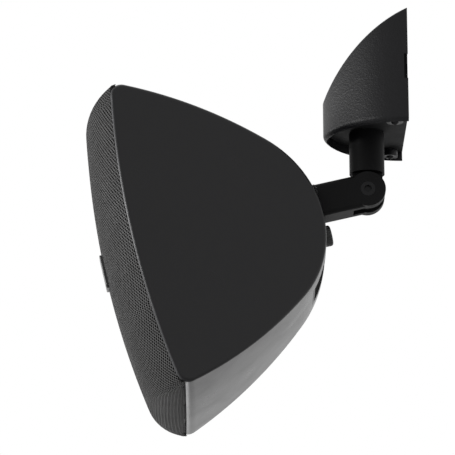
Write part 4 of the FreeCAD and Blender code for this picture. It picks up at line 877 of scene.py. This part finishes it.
    def _sample(self, nodes: NodeTree, size: bpy.types.NodeOutputs, kind: str,
                value: bpy.types.NodeSocket) -> bpy.types.Node:
        """Read a value of the form under a place on the flat sheet.

        Args:
            nodes: The tree's nodes.
            size: The group's inputs.
            kind: Data type of the value.
            value: The field to read.

        Returns:
            The sampling node.
        """
        across = nodes.joined(X=size["Width"], Y=size["Height"], Z=1.0)
        unit = nodes.vector("DIVIDE", nodes.position(), across)
        middle = nodes.vector("ADD", unit.outputs[0], (0.5, 0.5, 0.0))
        return nodes.add("GeometryNodeSampleUVSurface", {
            "Mesh": size["Form"], "Value": value, "Source UV Map": nodes.stored("flat_sheet", "FLOAT_VECTOR"),
            "Sample UV": middle.outputs[0]}, data_type=kind)

    def _keep_band(self, nodes: NodeTree, size: bpy.types.NodeOutputs,
                   cells: bpy.types.NodeSocket) -> bpy.types.NodeSocket:
        """Drop the cells outside one band, and those behind the sheet's seat.

        Args:
            nodes: The tree's nodes.
            size: The group's inputs.
            cells: The hexagon cells.

        Returns:
            The cells that stay.
        """
        found = self._sample(nodes, size, "FLOAT", nodes.stored("depth"))
        up = nodes.split(nodes.position())["Y"]
        drop = nodes.any_of(nodes.math("GREATER_THAN", found.outputs["Value"], size["Deepest"]),
                            nodes.math("LESS_THAN", up, size["Low"]),
                            nodes.math("GREATER_THAN", up, size["High"]),
                            nodes.math("SUBTRACT", 1.0, found.outputs["Is Valid"]))
        return nodes.add("GeometryNodeDeleteGeometry", {"Geometry": cells, "Selection": drop},
                         domain="FACE").outputs[0]

    def _hem(self, nodes: NodeTree, size: bpy.types.NodeOutputs) -> bpy.types.NodeSocket:
        """The plain edge between the last holes and the seat, for one band.

        Args:
            nodes: The tree's nodes.
            size: The group's inputs.

        Returns:
            The strip, a sheet's depth behind the punched face.
        """
        depth, level = nodes.stored("depth"), nodes.stored("level")
        drop = nodes.any_of(
            nodes.math("LESS_THAN", depth, nodes.math("SUBTRACT", size["Deepest"], self.hem)),
            nodes.math("GREATER_THAN", depth, self.floor),
            nodes.math("LESS_THAN", level, size["Low"]), nodes.math("GREATER_THAN", level, size["High"]))
        strip = nodes.add("GeometryNodeDeleteGeometry", {"Geometry": size["Form"], "Selection": drop},
                          domain="FACE")
        back = nodes.scaled(nodes.add("GeometryNodeInputNormal").outputs[0],
                            nodes.math("MULTIPLY", size["Sheet"], -1.0))
        return nodes.add("GeometryNodeSetPosition", {"Geometry": strip.outputs[0], "Offset": back}).outputs[0]

    def _fold(self, nodes: NodeTree, size: bpy.types.NodeOutputs,
              flat: bpy.types.NodeSocket) -> bpy.types.NodeSocket:
        """Move the flat sheet onto the form, with its depth along the form's normal.

        Args:
            nodes: The tree's nodes.
            size: The group's inputs.
            flat: The punched flat sheet.

        Returns:
            The formed sheet.
        """
        on_form, facing = (self._sample(nodes, size, "FLOAT_VECTOR", value).outputs["Value"] for value in (
            nodes.position(), nodes.add("GeometryNodeInputNormal").outputs[0]))
        along = nodes.scaled(nodes.vector("NORMALIZE", facing).outputs[0], nodes.split(nodes.position())["Z"])
        place = nodes.vector("ADD", on_form, along).outputs[0]
        return nodes.add("GeometryNodeSetPosition", {"Geometry": flat, "Position": place}).outputs[0]

    def build(self, materials: Materials) -> None:
        """Punch, press and place the sheet in bands, and hang the cloth behind it.

        Args:
            materials: The finishes.
        """
        materials.dress("grille_badge")
        form = self.form_mesh()
        tree = self.tree(materials.get(GRILLE))
        wide, tall = self.flat_size()
        for band in range(self.bands):
            low = -tall / 2 + tall * band / self.bands
            name = f"grille_sheet_{band + 1}"
            mesh = grown(name, form.copy(), tree, {
                "Width": wide, "Height": tall, "Low": low, "High": low + tall / self.bands,
                "Deepest": self.floor - self.hem})
            piece = new_object(name, mesh)
            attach(piece, Body.SPEAKER.value)
            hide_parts("grille")
            LOG.info("%s: %d faces", piece.name, len(mesh.polygons))
        self.cloth(form, materials.get(FINISHES["cloth"]))

    def cloth(self, form: bpy.types.Mesh, material: bpy.types.Material) -> None:
        """The black cloth that lines the sheet.

        Args:
            form: The unpunched form.
            material: The cloth's finish.
        """
        shape = bmesh.new()
        shape.from_mesh(form)
        depth = shape.verts.layers.float["depth"]
        behind = [face for face in shape.faces if any(v[depth] > self.floor - self.hem for v in face.verts)]
        bmesh.ops.delete(shape, geom=behind, context="FACES")
        shape.normal_update()
        for vertex, normal in [(v, v.normal.copy()) for v in shape.verts]:
            vertex.co -= normal * self.cloth_gap
        mesh = mesh_of("grille_lining", shape, material)
        piece = new_object("grille_lining", mesh)
        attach(piece, Body.SPEAKER.value)
        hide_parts("grille_cloth")
        LOG.info("%s: %d faces", piece.name, len(mesh.polygons))


@dataclass
class CrossScrews:
    """Domed screws with a cross recess, one set for each body.

    Attributes:
        name: The piece's name.
        body: The body that the screws hold on to.
        nodes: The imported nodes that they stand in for.
        places: Seats of the heads.
        outwards: Direction that the heads face.
        head: Radius of a head.
        height: Height of a head.
        shank: Radius of the shank.
        length: Length of the shank.
        slot: Width of the recess.
        reach: Length of the recess in head radii.
        cut: Height of the cutter in head heights.
        crease: Angle above which an edge stays sharp.
    """

    name: str
    body: Body
    nodes: tuple[str, ...]
    places: list[Vector]
    outwards: Vector
    head: float
    height: float
    shank: float
    length: float
    slot: float = 1.1 * MM
    reach: float = 1.1
    cut: float = 1.2
    crease: float = math.radians(40.0)

    def tree(self, material: bpy.types.Material) -> bpy.types.NodeTree:
        """Geometry nodes that put one screw on each point.

        Args:
            material: The screws' finish.

        Returns:
            The node group.
        """
        nodes, source, sink = group_tree(
            f"{self.name}_tree",
            {"Seats": ("NodeSocketGeometry", None), "Head": ("NodeSocketFloat", self.head),
             "Height": ("NodeSocketFloat", self.height), "Shank": ("NodeSocketFloat", self.shank),
             "Length": ("NodeSocketFloat", self.length), "Slot": ("NodeSocketFloat", self.slot),
             "Outwards": ("NodeSocketVector", (0.0, 0.0, 1.0))},
            {"Geometry": "NodeSocketGeometry"}, "GeometryNodeTree")
        size = source.outputs
        ball = nodes.add("GeometryNodeMeshUVSphere", {"Segments": 32, "Rings": 16, "Radius": 1.0})
        dome = nodes.add("GeometryNodeTransform", {
            "Geometry": ball.outputs["Mesh"],
            "Scale": nodes.joined(X=size["Head"], Y=size["Head"], Z=size["Height"])})
        reach = nodes.math("MULTIPLY", size["Head"], self.reach)
        cut = nodes.math("MULTIPLY", size["Height"], self.cut)
        arms = []
        for wide, tall in ((reach, size["Slot"]), (size["Slot"], reach)):
            arm = nodes.add("GeometryNodeMeshCube", {"Size": nodes.joined(X=wide, Y=tall, Z=cut)})
            arms.append(nodes.add("GeometryNodeTransform", {
                "Geometry": arm.outputs["Mesh"], "Translation": nodes.joined(Z=size["Height"])}).outputs[0])
        cross = nodes.add("GeometryNodeMeshBoolean", {
            "Mesh 1": dome.outputs[0], "Mesh 2": nodes.merged(*arms), "Self Intersection": True},
            operation="DIFFERENCE", solver="EXACT")
        rod = nodes.add("GeometryNodeMeshCylinder", {
            "Vertices": 16, "Radius": size["Shank"], "Depth": size["Length"]})
        shank = nodes.add("GeometryNodeTransform", {
            "Geometry": rod.outputs["Mesh"],
            "Translation": nodes.joined(Z=nodes.math("MULTIPLY", size["Length"], -0.5))})
        screw = nodes.merged(cross.outputs["Mesh"], shank.outputs[0])
        turn = nodes.add("FunctionNodeAlignRotationToVector", {"Vector": size["Outwards"]}, axis="Z")
        spread = nodes.add("GeometryNodeInstanceOnPoints", {
            "Points": size["Seats"], "Instance": screw, "Rotation": turn.outputs[0]})
        nodes.feed(sink.inputs[0], nodes.finished(spread.outputs[0], material))
        return nodes.tree

    def build(self, materials: Materials) -> None:
        """Make the set and seat it.

        Args:
            materials: The finishes.
        """
        tree = self.tree(materials.get(FINISHES["screws"]))
        seats = mesh_from(f"{self.name}_seats", self.places, [])
        mesh = grown(self.name, seats, tree, {"Outwards": tuple(self.outwards)})
        mesh.set_sharp_from_angle(angle=self.crease)
        piece = new_object(self.name, mesh)
        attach(piece, self.body.value)
        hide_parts(*self.nodes)
        LOG.info("%s: %d screws", self.name, len(self.places))


@dataclass
class WallBracket:
    """The cast bracket under its moulded cover.

    Attributes:
        lug_spread: Cover lugs from the middle.
        lug_reach: Cover lugs from the wall.
        lug_foot: Seat of the cover screws below the wall screws' middle.
    """

    lug_spread: float = 53.0 * MM
    lug_reach: float = 12.0 * MM
    lug_foot: float = 54.8 * MM

    def build(self, materials: Materials) -> None:
        """Dress the bracket and put the cover's screws in.

        Args:
            materials: The finishes.
        """
        materials.dress("wall_bracket", "pan_bush", "bracket_cover")
        lugs = [Vector((self.lug_spread * side, -self.lug_reach, -self.lug_foot)) for side in (1, -1)]
        CrossScrews("lug_screws", Body.BRACKET, ("cover_screws",), lugs, Vector((0, 0, -1)), head=3.4 * MM,
                    height=2.1 * MM, shank=1.7 * MM, length=6.0 * MM).build(materials)


class SwivelPost:
    """The post that turns in the bracket, with its washers and nut."""

    def build(self, materials: Materials) -> None:
        """Dress the post and what holds it."""
        materials.dress("swivel_post", "thrust_washer", "pan_washer", "pan_nut")


@dataclass
class SpeakerArm:
    """The arm that tilts on the knuckle pin.

    Attributes:
        space: The cabinet's frame.
        flange_face: Outer face of the flange, from the front corners.
        screw_spread: Flange screws from the middle, across.
        screw_step: Flange screws from the arm's axis, up.
    """

    space: SpeakerFrame
    flange_face: float = 160.5 * MM
    screw_spread: float = 22.5 * MM
    screw_step: float = 6.0 * MM

    def build(self, materials: Materials) -> None:
        """Dress the arm and put the flange's screws in.

        Args:
            materials: The finishes.
        """
        materials.dress("arm", "knuckle_pin", "knuckle_nut")
        places = [self.space.point(self.screw_spread * side, self.flange_face,
                                   self.space.pivot_rise + self.screw_step * row)
                  for side in (1, -1) for row in (1, -1)]
        CrossScrews("arm_screws", Body.SPEAKER, ("flange_screws",), places, Vector(BACK_AXIS), head=4.3 * MM,
                    height=2.6 * MM, shank=2.4 * MM, length=4.0 * MM).build(materials)


class Cabinet:
    """The moulded shell and the baffle that closes it."""

    def build(self, materials: Materials) -> None:
        """Dress the shell, the baffle, its seal and its screws."""
        materials.dress("cabinet_shell", "front_baffle", "baffle_seal", "baffle_screws")


@dataclass
class Woofer:
    """The bass driver with its moving cone.

    Attributes:
        space: The cabinet's frame.
        bore: Radius that the spider leaves free, so that the coil's wire passes as the cone moves.
        weld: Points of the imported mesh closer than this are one.
    """

    space: SpeakerFrame
    bore: float = 14.15 * MM
    weld: float = 0.002 * MM

    def build(self, materials: Materials) -> None:
        """Dress the frame, the motor and the cone, and make the spider.

        Args:
            materials: The finishes.
        """
        materials.dress("woofer_basket", "woofer_surround", "woofer_trim_ring", "woofer_spider",
                        "woofer_front_plate", "woofer_magnet", "woofer_yoke", "woofer_screws",
                        "woofer_cone", "woofer_dust_cap", "woofer_voice_coil")
        self.spider(materials.get(FINISHES["spider"]))

    def spider(self, material: bpy.types.Material) -> None:
        """The corrugated disc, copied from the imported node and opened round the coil.

        Args:
            material: The disc's finish.
        """
        node = frame["nodes"]["woofer_spider"]
        shape = bmesh.new()
        shape.from_mesh(node.data)
        bmesh.ops.remove_doubles(shape, verts=shape.verts, dist=self.weld)
        bmesh.ops.transform(shape, matrix=self.space.matrix.inverted() @ node.matrix_world, verts=shape.verts)
        heights = [vertex.co.z for vertex in shape.verts]
        middle = (min(heights) + max(heights)) / 2
        for vertex in shape.verts:
            away = Vector((vertex.co.x, 0, vertex.co.z - middle))
            vertex.co += away.normalized() * max(0.0, self.bore - away.length)
        bmesh.ops.transform(shape, matrix=self.space.matrix, verts=shape.verts)
        piece = new_object("spider_disc", mesh_of("spider_disc", shape, material))
        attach(piece, Body.SPEAKER.value)
        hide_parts("woofer_spider")
        LOG.info("%s: opened to a radius of %.2f mm", piece.name, self.bore / MM)


class Tweeter:
    """The treble driver."""

    def build(self, materials: Materials) -> None:
        """Dress the plate, the dome and the magnet."""
        materials.dress("tweeter_plate", "tweeter_dome", "tweeter_magnet", "tweeter_screws")


class BassPorts:
    """The two flared tubes beside the drivers."""

    def build(self, materials: Materials) -> None:
        """Dress both tubes."""
        materials.dress("port_tube_left", "port_tube_right")


@dataclass
class LevelControl:
    """The treble level knob on the back.

    Attributes:
        space: The cabinet's frame.
        face: Outer face of the knob, from the front corners.
        drop: Knob below the middle of the front.
        line: Length, width and height of the knob's line.
        offset: Middle of the line above the knob's axis, in its lengths.
    """

    space: SpeakerFrame
    face: float = 166.9 * MM
    drop: float = 10.9 * MM
    line: Point = (6.0 * MM, 1.0 * MM, 0.25 * MM)
    offset: float = 0.7

    def build(self, materials: Materials) -> None:
        """Dress the knob and paint the line that shows how it is set.

        Args:
            materials: The finishes.
        """
        materials.dress("level_knob", "level_control")
        long, wide, high = self.line
        shape = bmesh.new()
        bmesh.ops.create_cube(shape, size=1.0)
        bmesh.ops.scale(shape, vec=(wide, high * 2, long), verts=shape.verts)
        bmesh.ops.bevel(shape, geom=shape.edges[:], offset=high / 2, segments=2, affect="EDGES")
        bmesh.ops.translate(shape, vec=(0, self.face, -self.drop + long * self.offset), verts=shape.verts)
        bmesh.ops.transform(shape, matrix=self.space.matrix, verts=shape.verts)
        piece = new_object("knob_line", mesh_of("knob_line", shape, materials.get(LINE)))
        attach(piece, Body.KNOB.value)
        LOG.info("%s: set", piece.name)


class Terminals:
    """The recessed cup with its two binding posts."""

    def build(self, materials: Materials) -> None:
        """Dress the cup, the posts and the thumb nuts."""
        materials.dress("terminal_cup", "terminal_posts", "terminal_nut_right", "terminal_nut_left")


class Crossover:
    """The filter board behind the terminals."""

    def build(self, materials: Materials) -> None:
        """Dress the board and its parts."""
        materials.dress("crossover_board", "crossover_choke", "crossover_capacitors", "crossover_resistor")


@dataclass(frozen=True)
class Lamp:
    """A soft rectangular lamp.

    Attributes:
        name: The lamp's name.
        place: Where it stands.
        size: Its width and height.
        power: Its power in watts.
    """

    name: str
    place: Point
    size: tuple[float, float]
    power: float

    def build(self, aim: Point) -> None:
        """Set the lamp up.

        Args:
            aim: The point that it faces.
        """
        data = bpy.data.lights.new(self.name, "AREA")
        data.shape = "RECTANGLE"
        data.size, data.size_y = self.size
        data.energy = self.power
        lamp = bpy.data.objects.new(self.name, data)
        lamp.location = self.place
        lamp.rotation_euler = (Vector(aim) - Vector(self.place)).to_track_quat("-Z", "Y").to_euler()
        bpy.context.scene.collection.objects.link(lamp)


@dataclass
class Studio:
    """Floor, lamps and world.

    Attributes:
        floor_drop: Floor below the origin.
        floor_size: Side of the floor.
        paper_white: How white the floor's paper is.
        sky: Strength of the world for soft light.
        fade: Distances between which the floor fades into the background.
        aim: The point that the lamps face.
        lamps: The lamps.
    """

    floor_drop: float = 1.35
    floor_size: float = 14.0
    paper_white: float = 0.82
    sky: float = 0.55
    fade: tuple[float, float] = (1.6, 5.5)
    aim: Point = (0.0, -0.17, -0.16)
    lamps: tuple[Lamp, ...] = (
        Lamp("front_lamp", (0.2, -2.8, 0.15), (4.4, 0.5), 84.0),
        Lamp("under_lamp", (-1.4, -0.6, -1.2), (1.2, 1.2), 8.0),
        Lamp("top_lamp", (-0.4, -0.6, 2.4), (1.6, 1.6), 9.0))

    def build(self) -> None:
        """Set the floor, the lamps and the world."""
        bpy.context.scene.view_settings.view_transform = "Standard"
        self.world()
        self.floor()
        for lamp in self.lamps:
            lamp.build(self.aim)

    def world(self) -> None:
        """A white background for the camera and for reflections, and a softer sky for light."""
        world = bpy.data.worlds.new("studio")
        bpy.context.scene.world = world
        world.use_nodes = True
        nodes = NodeTree(world.node_tree)
        strength = nodes.add("ShaderNodeMapRange", {"Value": nodes.shown(), "To Min": self.sky,
                                                    "To Max": 1.0})
        sky = world.node_tree.nodes["Background"]
        sky.inputs["Color"].default_value = (1, 1, 1, 1)
        nodes.feed(sky.inputs["Strength"], strength.outputs["Result"])

    def floor(self) -> None:
        """A plain pale floor well below the speaker."""
        half = self.floor_size / 2
        corners = [Vector((x, y, -self.floor_drop)) for x, y in
                   ((-half, -half), (half, -half), (half, half), (-half, half))]
        piece = new_object("studio_floor", mesh_from("studio_floor", corners, [(0, 1, 2, 3)], False))
        piece.data.materials.append(self.paper())

    def paper(self) -> bpy.types.Material:
        """Pale paper that fades into the white background away from the speaker.

        Returns:
            The floor's material.
        """
        material = bpy.data.materials.new("floor_paper")
        material.use_nodes = True
        nodes = NodeTree(material.node_tree)
        shader = material.node_tree.nodes["Principled BSDF"]
        shader.inputs["Base Color"].default_value = (*[self.paper_white] * 3, 1)
        shader.inputs["Roughness"].default_value = 0.9
        level = nodes.vector("MULTIPLY", nodes.place(), (1.0, 1.0, 0.0)).outputs[0]
        far = nodes.add("ShaderNodeMapRange", {"Value": nodes.vector("LENGTH", level).outputs["Value"],
                                               "From Min": self.fade[0], "From Max": self.fade[1]},
                        interpolation_type="SMOOTHSTEP")
        share = nodes.math("MULTIPLY", far.outputs["Result"], nodes.shown())
        white = nodes.add("ShaderNodeEmission", {"Color": (1, 1, 1, 1), "Strength": 1.0})
        mixed = nodes.add("ShaderNodeMixShader", {0: share, 1: shader.outputs[0], 2: white.outputs[0]})
        nodes.feed(material.node_tree.nodes["Material Output"].inputs["Surface"], mixed.outputs[0])
        return material


@dataclass
class PhotoCamera:
    """The camera of the photograph, below the speaker and looking up at its side.

    Attributes:
        distance: Camera to the middle of the speaker's front.
        bearing: Angle from the x axis, in degrees.
        below: Angle below the horizon, in degrees.
        pixels: Pixels per metre at that distance.
        frame: Side of the picture in pixels.
        middle: The middle of the front in the picture, in pixels.
        sensor: Sensor width in millimetres.
        reach: Distance up to which the camera sees.
    """

    distance: float = 3.5
    bearing: float = -0.79
    below: float = 15.41
    pixels: float = 1118.7
    frame: float = 455.0
    middle: tuple[float, float] = (147.0, 264.3)
    sensor: float = 36.0
    reach: float = 60.0

    def build(self, space: SpeakerFrame) -> None:
        """Place the camera and turn it so that the front's middle falls where it should.

        Args:
            space: The cabinet's frame.
        """
        a, e = math.radians(self.bearing), math.radians(self.below)
        away = Vector((math.cos(e) * math.cos(a), -math.cos(e) * math.sin(a), -math.sin(e)))
        focal = self.pixels * self.distance
        yaw = math.atan((self.frame / 2 - self.middle[0]) / focal)
        pitch = math.atan((self.middle[1] - self.frame / 2) / focal)
        turn = (-away).to_track_quat("-Z", "Y").to_matrix().to_4x4()
        turn = turn @ Matrix.Rotation(-yaw, 4, "Y") @ Matrix.Rotation(pitch, 4, "X")
        data = bpy.data.cameras.new("photo_camera")
        data.sensor_width = self.sensor
        data.lens = self.sensor * focal / self.frame
        data.clip_end = self.reach
        camera = bpy.data.objects.new("photo_camera", data)
        camera.matrix_world = Matrix.Translation(space.point(0, 0, 0) + away * self.distance) @ turn
        bpy.context.scene.collection.objects.link(camera)
        bpy.context.scene.camera = camera


def main() -> None:
    """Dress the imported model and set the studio."""
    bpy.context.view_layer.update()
    space = SpeakerFrame()
    materials = Materials()
    for assembly in (WallBracket(), SwivelPost(), SpeakerArm(space), Cabinet(), Grille(space), Woofer(space),
                     Tweeter(), BassPorts(), LevelControl(space), Terminals(), Crossover()):
        assembly.build(materials)
    Studio().build()
    PhotoCamera().build(space)


if __name__ == "__main__":
    main()
